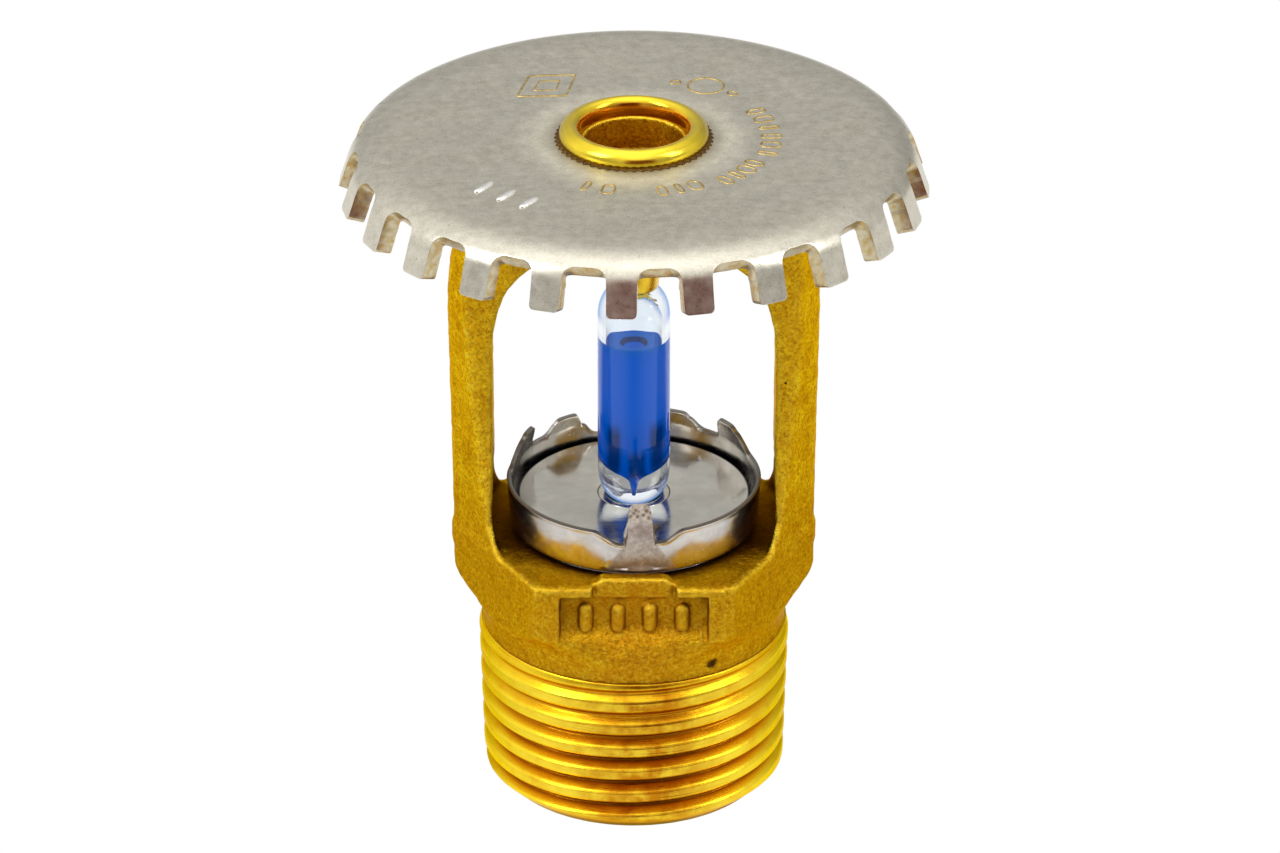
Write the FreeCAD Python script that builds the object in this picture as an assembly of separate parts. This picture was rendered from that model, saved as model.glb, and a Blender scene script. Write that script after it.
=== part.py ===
import FreeCAD, Part
import math
import os

# Frame-type glass-bulb fire sprinkler head, standing on its inlet.
# Origin: centre of the inlet face. +Z runs from the inlet to the deflector, -Y is the front.
# The two frame arms lie in the XZ plane. Millimetres; directions are degrees from +X.

V = FreeCAD.Vector
ORIGIN = V(0, 0, 0)
Z_AXIS = V(0, 0, 1)

# Inlet: taper pipe thread, 1/2 inch nominal, 14 per inch
PITCH = 1.814
TAPER = 1 / 32              # radius growth per mm of height
R_THREAD = 10.43            # crest radius at z = 0
THREAD_DEPTH = 1.12
Z_THREAD = 12.1             # top of the threaded length
R_BORE = 6.35               # waterway
R_RELIEF = 6.6              # wider bore just below the spring seat
Z_RELIEF = 15.5
R_COUNTERSINK = 7.35        # 45 degree countersink at the inlet face

# Cast base
R_COLLAR = 10.5
Z_COLLAR = 13.35            # top of the turned shank, inside the base
Z_BASE = 12.9               # underside of the base
Z_LEDGE = 19.5              # top of the base
R_BASE_CONE = (9.6, 13.7)   # bottom and top of the 45 degree cone under the base
SLANT_DIST = 11.0           # centre to slanted wrench face
FRONT_DIST = 10.2           # centre to front and back wrench face
Z_SEAT = 19.0               # spring seat
R_SEAT = 7.95

# Sunken panels on the front and back of the base
PANEL_DIST = 9.75           # centre to panel floor
PANEL_HALF = 5.15
Z_PANEL = (12.5, 18.85)
GAP_HALF = 2.9              # narrower recess running up through the ledge
KEY_TOP_HALF = 2.2          # tapered key behind that recess
Z_KEY = (19.2, 19.9)
R_PIP = 0.55
PIP_DIST = 9.62
PIP_XS = (-3.3, -1.1, 1.1, 3.3)
Z_PIP = 17.15

# Arms and boss
X_ARM_FOOT = 12.55          # outer edge of the arm at the ledge
X_ARM = 12.88               # outer edge at its widest
X_ARM_IN = 9.7              # inner edge
SLANT_GROWTH = 0.29         # how far the slanted faces move out by Z_ARM_LIMIT
Z_ARM_LIMIT = 37.0
Z_BOSS = 40.45              # underside of the boss
Z_SHOULDER = 47.55          # deflector rests here
R_NECK = 4.6
Z_RIM = 49.9                # top of the rolled rim
R_RIM_BORE = 3.6

# Arm edges seen from the front, as (x, z), for the arm on +X
ARM_OUTER = [(X_ARM_FOOT, Z_LEDGE), (X_ARM_FOOT + 0.1, 25), (X_ARM, 33), (X_ARM, 37.2),
             (12.35, 40.6), (10.9, 43.6), (8.7, 45.9), (6.6, 47.0)]
ARM_INNER = [(9.25, Z_LEDGE), (9.62, 20.6), (X_ARM_IN, 22.5), (X_ARM_IN, 28),
             (X_ARM_IN, 33.6), (9.45, 36.0), (8.7, 38.2), (7.2, 39.9), (5.3, 40.75), (3.9, 41.0)]
X_ARM_ROOT = 3.2            # where the arm ends inside the boss
# Half thickness of the arms, as (y, z)
ARM_THICKNESS = [(5.95, 19.4), (5.2, 20.2), (4.4, 21.4), (3.55, 27), (2.85, 32),
                 (2.8, 39), (2.8, 48)]
# Clearance for the cup in the arms' inner sides: radius, bottom, top
CUP_CLEARANCE = [(10.35, 19.3, 22.6), (9.95, 22.5, 24.0), (9.65, 23.9, 24.9)]

# Load screw
R_SCREW = 3.10
SCREW_CLEARANCE = 0.05
R_SOCKET = 1.75             # across-corner radius of the hex socket
Z_SOCKET = 43.4             # flat floor of the socket, above its drill point

# Deflector
TEETH = 24
FIRST_TOOTH = 267.6         # direction of the tooth nearest the front
TOOTH_WIDTH = 2.04
SHEET = 1.2
Z_PLATE = Z_SHOULDER + SHEET
R_ROOT = 19.1               # slot root radius
R_DEFLECTOR_HOLE = 4.64
R_FLAT = 15.0               # flat part of the sheet, well inside the bend
R_TOOTH_START = 15.5
# The bent edge of the sheet, as (radius, z)
BEND_TOP = [(17.5, Z_PLATE), (18.4, Z_PLATE - 0.06), (19.05, Z_PLATE - 0.34),
            (19.38, Z_PLATE - 0.85), (20.1, 45.1)]
BEND_UNDER = [(17.95, Z_SHOULDER), (18.25, Z_SHOULDER - 0.22), (18.94, 44.84)]
NOTCHES = 40                # small notches round the centre hole
NOTCH_HALF = 0.13
NOTCH_RADII = (4.5, 5.25)
NOTCH_DEPTH = 0.3

# Bulb
R_BULB = 2.5
R_BULB_INNER = 1.95
Z_BULB = 20.45              # bottom tip
Z_FLUID = 33.8              # fluid level
R_BUBBLE = 0.62
# Outer and inner glass ends, as (radius, z)
BULB_BOTTOM = [(0, Z_BULB), (0.55, Z_BULB + 0.08), (0.85, Z_BULB + 0.45), (1.2, 21.12),
               (1.9, 21.75), (2.35, 22.7), (R_BULB, 23.9)]
BULB_TOP = [(R_BULB, 35.2), (2.4, 36.1), (2.0, 37.0), (1.25, 37.62), (0.6, 37.85), (0, 37.9)]
HOLLOW_BOTTOM = [(0, 21.9), (0.16, 22.2), (0.2, 23.0), (0.5, 23.7), (1.35, 24.35),
                 (R_BULB_INNER, 25.4)]
HOLLOW_TOP = [(R_BULB_INNER, 34.6), (1.8, 35.5), (1.2, 36.35), (0.6, 36.65), (0, 36.75)]

# Sealing stack
FILM = 0.10                 # film thickness
SPRING = 0.35               # spring thickness
Z_CUP = 19.70               # underside of the cup
CUP_WALL = 0.32
Z_CUP_FLOOR = Z_CUP + CUP_WALL
R_CUP_HOLE = 3.65
R_CUP_FOOT = 8.55
R_CUP_RIM = 8.78
Z_CUP_RIM = 22.85
R_TAB = 8.15                # outer radius at the tab tops
Z_TAB = 24.9
Z_CAP = 21.65               # top face of the cap
R_CAP_HOLE = 2.5            # hole for the bulb seat
Z_CAP_HOLE = 19.2           # floor of that hole

# Edge of the cup wall
R_ARC = 8.6                 # radius at which distances along the edge are measured
FRONT_TAB = 273
LOW_SECTOR = (79, 114)      # directions between which the wall is cut lower
Z_LOW_SECTOR = 22.0
EDGE_STEPS = 240
# Tabs: direction, half width clockwise and counter-clockwise, top z,
# flank width clockwise and counter-clockwise
TABS = [(FRONT_TAB, 0.83, 0.83, 24.7, 0.25, 0.25),
        (36.5, 0.95, 1.05, 24.6, 1.7, 0.4),
        (69.5, 1.0, 1.0, 24.05, 1.1, 0.5),
        (124.5, 1.0, 1.0, 24.05, 0.5, 0.8),
        (155, 0.75, 1.0, 24.8, 0.4, 2.2)]


# ---- helpers; profile points are (x or radius, z) ----
def polygon(vectors):
    return Part.makePolygon(vectors + [vectors[0]])


def profile_face(points, y=0):
    return Part.Face(polygon([V(x, y, z) for x, z in points]))


def line(start, end):
    return Part.makeLine(V(start[0], 0, start[1]), V(end[0], 0, end[1]))


def spline(points):
    curve = Part.BSplineCurve()
    curve.interpolate([V(x, 0, z) for x, z in points])
    return curve.toShape()


def edge_face(edges):
    return Part.Face(Part.Wire(Part.__sortEdges__(edges)))


def turn(face):
    return face.revolve(ORIGIN, Z_AXIS, 360)


def turned(points):
    return turn(profile_face(points))


def bowed_line(start, end, bow=0.008):
    """Very slightly bowed flank between two points."""
    dx, dz = end[0] - start[0], end[1] - start[1]
    length = math.hypot(dx, dz)
    middle = ((start[0] + end[0]) / 2 + bow * dz / length,
              (start[1] + end[1]) / 2 - bow * dx / length)
    return spline([start, middle, end])


def turned_bowed(points):
    """Turned body whose tapered flanks are slightly bowed."""
    edges = []
    for start, end in zip(points, points[1:] + points[:1]):
        straight = abs(start[0] - end[0]) < 1e-9 or abs(start[1] - end[1]) < 1e-9
        edges.append(line(start, end) if straight else bowed_line(start, end))
    return turn(edge_face(edges))


def cylinder(radius, z0, z1):
    return Part.makeCylinder(radius, z1 - z0, V(0, 0, z0))


def box(x0, x1, y0, y1, z0, z1):
    return Part.makeBox(x1 - x0, y1 - y0, z1 - z0, V(x0, y0, z0))


def spin(shape, degrees):
    shape.rotate(ORIGIN, Z_AXIS, degrees)
    return shape


def single(shape):
    """The bare solid, when a boolean result holds just one."""
    return shape.Solids[0] if len(shape.Solids) == 1 else shape


def save(shape, name, merge_faces=True):
    if merge_faces:
        shape = shape.removeSplitter()
    shape.exportStep("parts/%s.step" % name)


# ---- frame ----
def hex_wire(slant_dist, x_flat, z):
    """Six-sided section with a narrow flat on each arm's outer edge."""
    cos30 = math.cos(math.radians(30))
    x_corner = (slant_dist - 0.5 * FRONT_DIST) / cos30
    y_flat = (slant_dist - cos30 * x_flat) / 0.5
    corners = [(x_flat, y_flat), (x_flat, -y_flat), (x_corner, -FRONT_DIST),
               (-x_corner, -FRONT_DIST), (-x_flat, -y_flat), (-x_flat, y_flat),
               (-x_corner, FRONT_DIST), (x_corner, FRONT_DIST)]
    return polygon([V(x, y, z) for x, y in corners])


def make_shank():
    """Turned shank and collar with a helical thread groove."""
    shank = turned_bowed([
        (0, 0), (8.75, 0), (9.25, 0.25), (R_THREAD + 0.05, 1.45),
        (R_THREAD + Z_THREAD * TAPER, Z_THREAD), (R_COLLAR, Z_THREAD + 0.25),
        (R_COLLAR, Z_COLLAR), (0, Z_COLLAR)])
    # The groove starts one turn below the inlet face
    z_start = -PITCH
    r_start = R_THREAD - THREAD_DEPTH + z_start * TAPER
    helix = Part.makeHelix(PITCH, Z_THREAD - z_start - 0.75, r_start,
                           math.degrees(math.atan(TAPER)))
    helix.translate(V(0, 0, z_start))
    root_half = 0.10
    mouth_half = (PITCH - 0.30) / 2 + 0.06
    r_mouth = r_start + THREAD_DEPTH + 0.12
    section = polygon([V(r_start, 0, z_start - root_half), V(r_start, 0, z_start + root_half),
                       V(r_mouth, 0, z_start + mouth_half), V(r_mouth, 0, z_start - mouth_half)])
    return shank.cut(Part.Wire(helix.Edges).makePipeShell([section], True, True))


def make_base():
    """Six-sided base with a cone under it and a panel front and back."""
    base = Part.makeLoft([hex_wire(SLANT_DIST, X_ARM_FOOT, z) for z in (Z_BASE, Z_LEDGE)],
                         True, True)
    r_low, r_high = R_BASE_CONE
    base = base.common(turned_bowed([
        (0, Z_BASE), (r_low, Z_BASE), (r_high, Z_BASE + r_high - r_low),
        (r_high, Z_LEDGE), (0, Z_LEDGE)]))
    for side in (-1, 1):
        y0, y1 = sorted((side * PANEL_DIST, side * 12))
        panel = box(-PANEL_HALF, PANEL_HALF, y0, y1, *Z_PANEL)
        base = base.cut(panel.fuse(box(-GAP_HALF, GAP_HALF, y0, y1, Z_PANEL[0], 21)))
        y0, y1 = sorted((side * 8.9, side * PANEL_DIST))
        key = profile_face([(-GAP_HALF, Z_KEY[0]), (GAP_HALF, Z_KEY[0]),
                            (KEY_TOP_HALF, Z_KEY[1]), (-KEY_TOP_HALF, Z_KEY[1])], y=-14)
        key = key.extrude(V(0, 28, 0)).common(box(-6, 6, y0, y1, 18, 21))
        base = base.fuse(key)
        for x in PIP_XS:
            base = base.fuse(Part.makeSphere(R_PIP, V(x, side * PIP_DIST, Z_PIP)))
    return base


def make_arms():
    """Both arms: front silhouette, trimmed by the slanted faces and the thickness."""
    root_top = (X_ARM_ROOT, ARM_OUTER[-1][1])
    root_bottom = (X_ARM_ROOT, ARM_INNER[-1][1])
    silhouette = edge_face([
        spline(ARM_OUTER), line(ARM_OUTER[-1], root_top), line(root_top, root_bottom),
        line(root_bottom, ARM_INNER[-1]), spline(ARM_INNER), line(ARM_INNER[0], ARM_OUTER[0])])
    silhouette.translate(V(0, -8, 0))
    right = silhouette.extrude(V(0, 16, 0))
    left = right.mirror(ORIGIN, V(1, 0, 0))

    def upper_hex(z):
        return hex_wire(SLANT_DIST + SLANT_GROWTH, X_ARM + 0.03, z)

    lower = Part.makeLoft([hex_wire(SLANT_DIST, X_ARM_FOOT, Z_LEDGE), upper_hex(Z_ARM_LIMIT)],
                          True, True)
    upper = Part.makeLoft([upper_hex(Z_ARM_LIMIT), upper_hex(48.0)], True, True)
    limit = lower.fuse(upper)

    outline = ARM_THICKNESS + [(-y, z) for y, z in ARM_THICKNESS[::-1]]
    thickness = Part.Face(polygon([V(-15, y, z) for y, z in outline])).extrude(V(30, 0, 0))
    arms = right.fuse(left).common(limit).common(thickness)
    for radius, z0, z1 in CUP_CLEARANCE:
        arms = arms.cut(cylinder(radius, z0, z1))
    return arms


def make_boss():
    """Boss with the neck that passes through the deflector."""
    return turned_bowed([
        (0, Z_BOSS), (3.7, Z_BOSS), (4.4, Z_BOSS + 0.3), (5.2, 42.2), (6.0, 45.0),
        (6.6, 46.6), (6.6, Z_SHOULDER), (R_NECK, Z_SHOULDER), (R_NECK, Z_PLATE), (0, Z_PLATE)])


def make_rim():
    """Rolled-over rim that holds the deflector."""
    inner, middle, outer = [(r, Z_PLATE) for r in (R_RIM_BORE, R_NECK - 0.3, 5.0)]
    crown = spline([outer, (5.08, Z_PLATE + 0.35), (4.85, Z_PLATE + 0.8), (4.35, Z_RIM),
                    (3.95, Z_PLATE + 0.9), (3.72, Z_PLATE + 0.45), inner])
    return turn(edge_face([line(inner, middle), line(middle, outer), crown]))


def make_frame():
    body = make_shank().fuse([make_base(), make_arms(), make_boss(), make_rim()])
    countersink = R_COUNTERSINK - R_BORE
    for tool in (
        cylinder(R_SEAT, Z_SEAT, 25),
        cylinder(R_BORE, -1, Z_RELIEF + 0.1),
        cylinder(R_RELIEF, Z_RELIEF, 21),
        turned([(0, -0.5), (R_COUNTERSINK + 0.5, -0.5), (R_BORE, countersink),
                (0, countersink)]),
        # screw hole and the cavity over it
        cylinder(R_SCREW + SCREW_CLEARANCE, 38, 48),
        turned([(0, 46.3), (3.42, 46.3), (3.42, 47.6), (R_RIM_BORE, 47.6),
                (R_RIM_BORE, 52), (0, 52)]),
    ):
        body = body.cut(tool)
    return single(body)


# ---- deflector ----
def make_deflector():
    disc = turned_bowed([(R_DEFLECTOR_HOLE, Z_PLATE), (R_FLAT, Z_PLATE)] + BEND_TOP
                        + BEND_UNDER[::-1] + [(R_FLAT, Z_SHOULDER),
                                              (R_DEFLECTOR_HOLE, Z_SHOULDER)])
    # The bent edge is cut off on a sloping root, then put back as straight-sided teeth
    z_root = Z_PLATE - 0.26
    beyond = turned_bowed([(R_ROOT, z_root), (R_ROOT - 1.7, z_root - 1.9), (R_ROOT - 1.7, 42),
                           (24, 42), (24, z_root + 2.5), (R_ROOT + 1.9, z_root + 2.5)])
    disc = disc.cut(beyond)
    section = ([(R_TOOTH_START, Z_PLATE)] + BEND_TOP + BEND_UNDER[::-1]
               + [(R_TOOTH_START, Z_SHOULDER)])
    tooth = profile_face(section, y=-TOOTH_WIDTH / 2).extrude(V(0, TOOTH_WIDTH, 0))
    disc = disc.fuse([spin(tooth.copy(), FIRST_TOOTH + 360 / TEETH * k) for k in range(TEETH)])
    notches = [spin(box(*NOTCH_RADII, -NOTCH_HALF, NOTCH_HALF, Z_PLATE - NOTCH_DEPTH,
                        Z_PLATE + 1), 360 / NOTCHES * k)
               for k in range(NOTCHES)]
    return single(disc.cut(Part.makeCompound(notches)))


# ---- load screw ----
def make_screw():
    screw = turned([(0, 38.3), (1.45, 37.56), (1.62, 37.6), (1.72, 37.9), (1.78, 38.6),
                    (1.8, 40.3), (2.6, 40.95), (2.95, 41.05), (R_SCREW, 41.2),
                    (R_SCREW, 45.9), (2.85, 46.15), (0, 46.15)])
    corners = [math.radians(60 * k) for k in range(6)]
    socket = Part.Face(polygon([V(R_SOCKET * math.cos(a), R_SOCKET * math.sin(a), Z_SOCKET)
                                for a in corners])).extrude(V(0, 0, 5))
    drill_point = turned([(0, 42.6), (1.5, Z_SOCKET), (0, Z_SOCKET)])
    return screw.cut(socket).cut(drill_point)


# ---- bulb ----
def bulb_body(bottom, top):
    return turn(edge_face([spline(bottom), line(bottom[-1], top[0]), spline(top),
                           line(top[-1], bottom[0])]))


def make_bulb():
    """Glass, and the fluid with a bubble cut into its top."""
    hollow = bulb_body(HOLLOW_BOTTOM, HOLLOW_TOP)
    glass = bulb_body(BULB_BOTTOM, BULB_TOP).cut(hollow)
    below_level = cylinder(3, 20, Z_FLUID)
    bubble = Part.makeSphere(R_BUBBLE, V(0, 0, Z_FLUID - 0.1)).common(below_level)
    return glass, hollow.common(below_level).cut(bubble)


# ---- sealing stack ----
def smoothstep(u):
    u = min(1.0, max(0.0, u))
    return u * u * (3 - 2 * u)


def arc_distance(direction, centre):
    """Distance along the cup's edge, counter-clockwise positive."""
    return math.radians((direction - centre + 180) % 360 - 180) * R_ARC


def edge_height(direction):
    """Height of the cup wall's edge in a given direction."""
    height = Z_CUP_RIM
    # The rim dips on both sides of the front tab
    distance = arc_distance(direction, FRONT_TAB)
    if distance < 0:
        height -= 0.86 * (1 - smoothstep((-distance - 1.45) / 1.9))
    else:
        height -= 0.74 * (1 - smoothstep((distance - 1.2) / 1.15))
    if LOW_SECTOR[0] < direction < LOW_SECTOR[1]:
        height = Z_LOW_SECTOR
    for centre, half_cw, half_ccw, top, flank_cw, flank_ccw in TABS:
        distance = arc_distance(direction, centre)
        rise = smoothstep(min((distance + half_cw + flank_cw) / flank_cw,
                              (half_ccw + flank_ccw - distance) / flank_ccw))
        height = max(height, height + (top - height) * rise)
    return height


def edge_wedge(start, end):
    """Narrow sector above the edge; start and end are (direction, height)."""
    bottom = []
    for radius, (direction, height) in ((7.2, start), (9.6, start), (9.6, end), (7.2, end)):
        angle = math.radians(direction)
        bottom.append(V(radius * math.cos(angle), radius * math.sin(angle), height))
    top = [V(p.x, p.y, 26) for p in bottom]
    # The bottom is split into triangles, as its four corners need not be coplanar
    loops = [bottom[:3], [bottom[0], bottom[2], bottom[3]], top]
    for i in range(4):
        j = (i + 1) % 4
        loops.append([bottom[i], bottom[j], top[j], top[i]])
    return Part.makeSolid(Part.makeShell([Part.Face(polygon(loop)) for loop in loops]))


def make_cup():
    # The wall opens outward up to the rim, then the tabs lean back inward
    shell = turned_bowed([
        (R_CUP_HOLE, Z_CUP), (R_CUP_FOOT - 0.25, Z_CUP), (R_CUP_FOOT, Z_CUP + 0.25),
        (R_CUP_RIM, Z_CUP_RIM), (R_TAB, Z_TAB), (R_TAB - CUP_WALL, Z_TAB),
        (R_CUP_RIM - CUP_WALL, Z_CUP_RIM), (R_CUP_FOOT - CUP_WALL, Z_CUP_FLOOR + 0.1),
        (R_CUP_FOOT - CUP_WALL - 0.12, Z_CUP_FLOOR), (R_CUP_HOLE, Z_CUP_FLOOR)])
    step = 360 / EDGE_STEPS
    heights = [edge_height(step * k) for k in range(EDGE_STEPS)]
    wedges = [edge_wedge((step * k, heights[k]),
                         (step * (k + 1), heights[(k + 1) % EDGE_STEPS]))
              for k in range(EDGE_STEPS)]
    return shell.cut(wedges[0].fuse(wedges[1:]))


def make_cap():
    """Cap in the cup, with a plug reaching down through the cup's hole."""
    return turned([(0, 18.0), (2.9, 18.0), (3.3, 18.4), (3.3, Z_CUP_FLOOR), (7.6, Z_CUP_FLOOR),
                   (7.95, Z_CUP_FLOOR + 0.35), (8.08, Z_CAP - 0.15), (7.98, Z_CAP),
                   (R_CAP_HOLE, Z_CAP), (R_CAP_HOLE, Z_CAP_HOLE), (0, Z_CAP_HOLE)])


def make_insert():
    """Bulb seat filling the cap's hole, dished on top."""
    return turned([(0, Z_CAP_HOLE), (R_CAP_HOLE, Z_CAP_HOLE), (R_CAP_HOLE, Z_CAP),
                   (2.0, Z_CAP), (1.33, 21.02), (0.98, 20.72), (0.7, 20.43), (0.45, 20.4),
                   (0, 20.35)])


def make_spring():
    """Coned disc spring between the two films."""
    z_low = Z_SEAT + FILM
    z_top = Z_CUP - FILM
    return turned([(7.75, z_low), (7.8, z_low + 0.1), (7.75, z_low + SPRING), (4.1, z_top),
                   (3.7, z_top), (3.6, z_top - 0.1), (3.7, z_top - SPRING)])


def make_film(r_outer, r_inner, z):
    return cylinder(r_outer, z, z + FILM).cut(cylinder(r_inner, z - 1, z + 1))


os.makedirs("parts", exist_ok=True)
save(make_frame(), "frame", merge_faces=False)
save(make_deflector(), "deflector")
save(make_screw(), "compression_screw")
bulb_glass, bulb_fluid = make_bulb()
save(bulb_glass, "bulb_glass")
save(bulb_fluid, "bulb_fluid")
save(make_cup(), "crown_cup", merge_faces=False)
save(make_cap(), "pip_cap")
save(make_insert(), "bulb_seat_insert")
save(make_spring(), "belleville_spring")
save(make_film(7.85, R_RELIEF + 0.05, Z_SEAT), "ptfe_film_lower")
save(make_film(5.2, R_CUP_HOLE, Z_CUP - FILM), "ptfe_film_upper")
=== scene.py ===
"""A glass-bulb fire sprinkler, upright, with its pipe thread down.

Z is the axis, with the inlet at z = 0 and the toothed deflector at the top. The two frame
arms stand at -X and +X, and the front is -Y. Shapes are written in millimetres.
"""
import bpy, bmesh, math
import numpy as np
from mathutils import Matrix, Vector


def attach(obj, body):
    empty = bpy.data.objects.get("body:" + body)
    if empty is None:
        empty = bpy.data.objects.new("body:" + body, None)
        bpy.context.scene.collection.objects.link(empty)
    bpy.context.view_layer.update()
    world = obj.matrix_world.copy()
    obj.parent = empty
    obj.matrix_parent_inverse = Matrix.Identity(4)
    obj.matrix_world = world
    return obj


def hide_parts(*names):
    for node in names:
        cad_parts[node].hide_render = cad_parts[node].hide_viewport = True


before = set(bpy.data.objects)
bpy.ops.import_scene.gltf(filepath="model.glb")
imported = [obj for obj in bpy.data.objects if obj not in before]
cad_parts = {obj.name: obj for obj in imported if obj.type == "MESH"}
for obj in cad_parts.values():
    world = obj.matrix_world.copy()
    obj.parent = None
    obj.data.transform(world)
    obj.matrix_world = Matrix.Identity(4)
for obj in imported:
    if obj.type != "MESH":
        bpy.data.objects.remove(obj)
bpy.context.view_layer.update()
MM = 0.001

# Driving dimensions
PITCH = 1.814                   # pipe thread
TAPER = 1 / 32                  # radius gained per unit of height
THREAD_R = 10.43                # crest radius at the inlet
THREAD_DEPTH = 1.12
THREAD_TOP = 12.1
BORE_R = 6.35
BASE_TOP = 19.5
BOSS_TOP = 47.52
PLATE_Z = 48.75                 # top of the deflector
SHEET = 1.2                     # deflector thickness
CUP_FLOOR = 19.70
CUP_RIM = 22.85
CUP_R = 8.6                     # wall radius on which widths round the cup are measured
FRONT_TAB = 273                 # degrees


# =====================================================================
# Mesh helpers
# =====================================================================
def shade_smooth(mesh):
    mesh.polygons.foreach_set("use_smooth", np.ones(len(mesh.polygons), dtype=bool))


def link_object(name, mesh):
    ob = bpy.data.objects.new(name, mesh)
    bpy.context.scene.collection.objects.link(ob)
    return ob


def new_obj(name, points, quads, smooth=True):
    """An object from points in millimetres and quads of point numbers."""
    points = np.asarray(points, dtype=np.float64) * MM
    quads = np.asarray(quads, dtype=np.int32)
    count = len(quads)
    mesh = bpy.data.meshes.new(name)
    mesh.vertices.add(len(points))
    mesh.vertices.foreach_set("co", points.ravel())
    mesh.loops.add(count * 4)
    mesh.loops.foreach_set("vertex_index", quads.ravel())
    mesh.polygons.add(count)
    mesh.polygons.foreach_set("loop_start", (np.arange(count) * 4).astype(np.int32))
    mesh.polygons.foreach_set("loop_total", np.full(count, 4).astype(np.int32))
    mesh.update(calc_edges=True)
    mesh.validate()
    if smooth:
        shade_smooth(mesh)
    return link_object(name, mesh)


def object_from_bmesh(bm, name):
    mesh = bpy.data.meshes.new(name)
    bm.to_mesh(mesh)
    bm.free()
    shade_smooth(mesh)
    return link_object(name, mesh)


def clean(ob, distance):
    """Merges points closer than the distance and turns the faces outward."""
    bm = bmesh.new()
    bm.from_mesh(ob.data)
    bmesh.ops.remove_doubles(bm, verts=bm.verts, dist=distance * MM)
    bmesh.ops.dissolve_degenerate(bm, edges=bm.edges, dist=distance * 0.5 * MM)
    bmesh.ops.recalc_face_normals(bm, faces=bm.faces)
    bm.to_mesh(ob.data)
    bm.free()


def thicken(ob, thickness, bevel, segments, angle):
    """Gives a surface its sheet thickness, behind its faces, with softened edges."""
    sheet = ob.modifiers.new("sheet", "SOLIDIFY")
    sheet.thickness = thickness * MM
    sheet.offset = -1
    sheet.use_even_offset = True
    edge = ob.modifiers.new("edge", "BEVEL")
    edge.width = bevel * MM
    edge.segments = segments
    edge.limit_method = "ANGLE"
    edge.angle_limit = math.radians(angle)
    depsgraph = bpy.context.evaluated_depsgraph_get()
    depsgraph.update()
    mesh = bpy.data.meshes.new_from_object(
        ob.evaluated_get(depsgraph), preserve_all_data_layers=False, depsgraph=depsgraph)
    old = ob.data
    ob.modifiers.clear()
    ob.data = mesh
    mesh.name = old.name
    bpy.data.meshes.remove(old)
    shade_smooth(mesh)


def rounded(points, closed=True, steps=6):
    """Rounds the corners of a polyline of (a, b) or (a, b, corner radius)."""
    count = len(points)
    out = []
    for i, point in enumerate(points):
        radius = point[2] if len(point) > 2 else 0
        if radius <= 0 or (not closed and i in (0, count - 1)):
            out.append((point[0], point[1]))
            continue
        before = points[(i - 1) % count]
        after = points[(i + 1) % count]
        back = np.array([before[0] - point[0], before[1] - point[1]], float)
        ahead = np.array([after[0] - point[0], after[1] - point[1]], float)
        back_length, ahead_length = np.linalg.norm(back), np.linalg.norm(ahead)
        back /= back_length
        ahead /= ahead_length
        angle = math.acos(max(-1, min(1, float(back @ ahead))))
        if angle > math.pi - 0.02:
            out.append((point[0], point[1]))
            continue
        trim = min(radius / math.tan(angle / 2), 0.48 * back_length, 0.48 * ahead_length)
        radius = trim * math.tan(angle / 2)
        bisector = (back + ahead) / np.linalg.norm(back + ahead)
        corner = np.array(point[:2])
        centre = corner + bisector * radius / math.sin(angle / 2)
        start = corner + back * trim - centre
        end = corner + ahead * trim - centre
        start_angle = math.atan2(start[1], start[0])
        end_angle = math.atan2(end[1], end[0])
        sweep = (end_angle - start_angle + math.pi) % (2 * math.pi) - math.pi
        for k in range(steps + 1):
            a = start_angle + sweep * k / steps
            out.append((centre[0] + radius * math.cos(a), centre[1] + radius * math.sin(a)))
    return out


def smooth_curve(points, steps):
    """Open Catmull-Rom curve through the points."""
    p = np.array(points, float)
    p = np.vstack([2 * p[0] - p[1], p, 2 * p[-1] - p[-2]])
    out = []
    for i in range(1, len(p) - 2):
        for k in range(steps):
            t = k / steps
            a, b, c, d = p[i - 1], p[i], p[i + 1], p[i + 2]
            out.append(tuple(0.5 * (2 * b + (c - a) * t + (2 * a - 5 * b + 4 * c - d) * t * t
                                    + (3 * b - a - 3 * c + d) * t ** 3)))
    out.append(tuple(p[-2]))
    return out


def turn(count):
    """Angles once round the axis."""
    return np.arange(count) / count * 2 * math.pi


def around(radius, z, angles):
    """Points round Z, one per angle; radius and z may be arrays."""
    x = radius * np.cos(angles)
    return np.stack([x, radius * np.sin(angles), np.broadcast_to(z, x.shape)], -1)


def ring_quads(rings, columns, closed):
    """Quads between neighbouring rings; closed also joins the last ring to the first."""
    i, j = np.meshgrid(np.arange(rings if closed else rings - 1), np.arange(columns),
                       indexing="ij")
    i_next = (i + 1) % rings
    j_next = (j + 1) % columns
    quads = [i * columns + j, i * columns + j_next,
             i_next * columns + j_next, i_next * columns + j]
    return np.stack(quads, -1).reshape(-1, 4)


def lathe(name, profile, columns=160, closed=True):
    """Turns a profile of (radius, z) about Z; an open one starts and ends on the axis."""
    radius = np.array([max(0.0, point[0]) for point in profile])
    z = np.array([point[1] for point in profile])
    angles = np.linspace(0, 2 * math.pi, columns, endpoint=False)
    points = around(radius[:, None], z[:, None], angles).reshape(-1, 3)
    ob = new_obj(name, points, ring_quads(len(profile), columns, closed))
    clean(ob, 0.0015)
    return ob


def helix(pitch, per_pitch, columns, bottom, top, margin):
    """A grid whose rows climb one pitch per turn: angles, z, and each row's phase."""
    step = pitch / per_pitch
    rows = np.arange(int((bottom - pitch) / step) - margin,
                     int((top + pitch) / step) + margin + 1)
    angles = turn(columns)
    z = rows[:, None] * step + (angles / (2 * math.pi) * pitch)[None, :]
    return angles, z, (rows % per_pitch) / per_pitch


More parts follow.
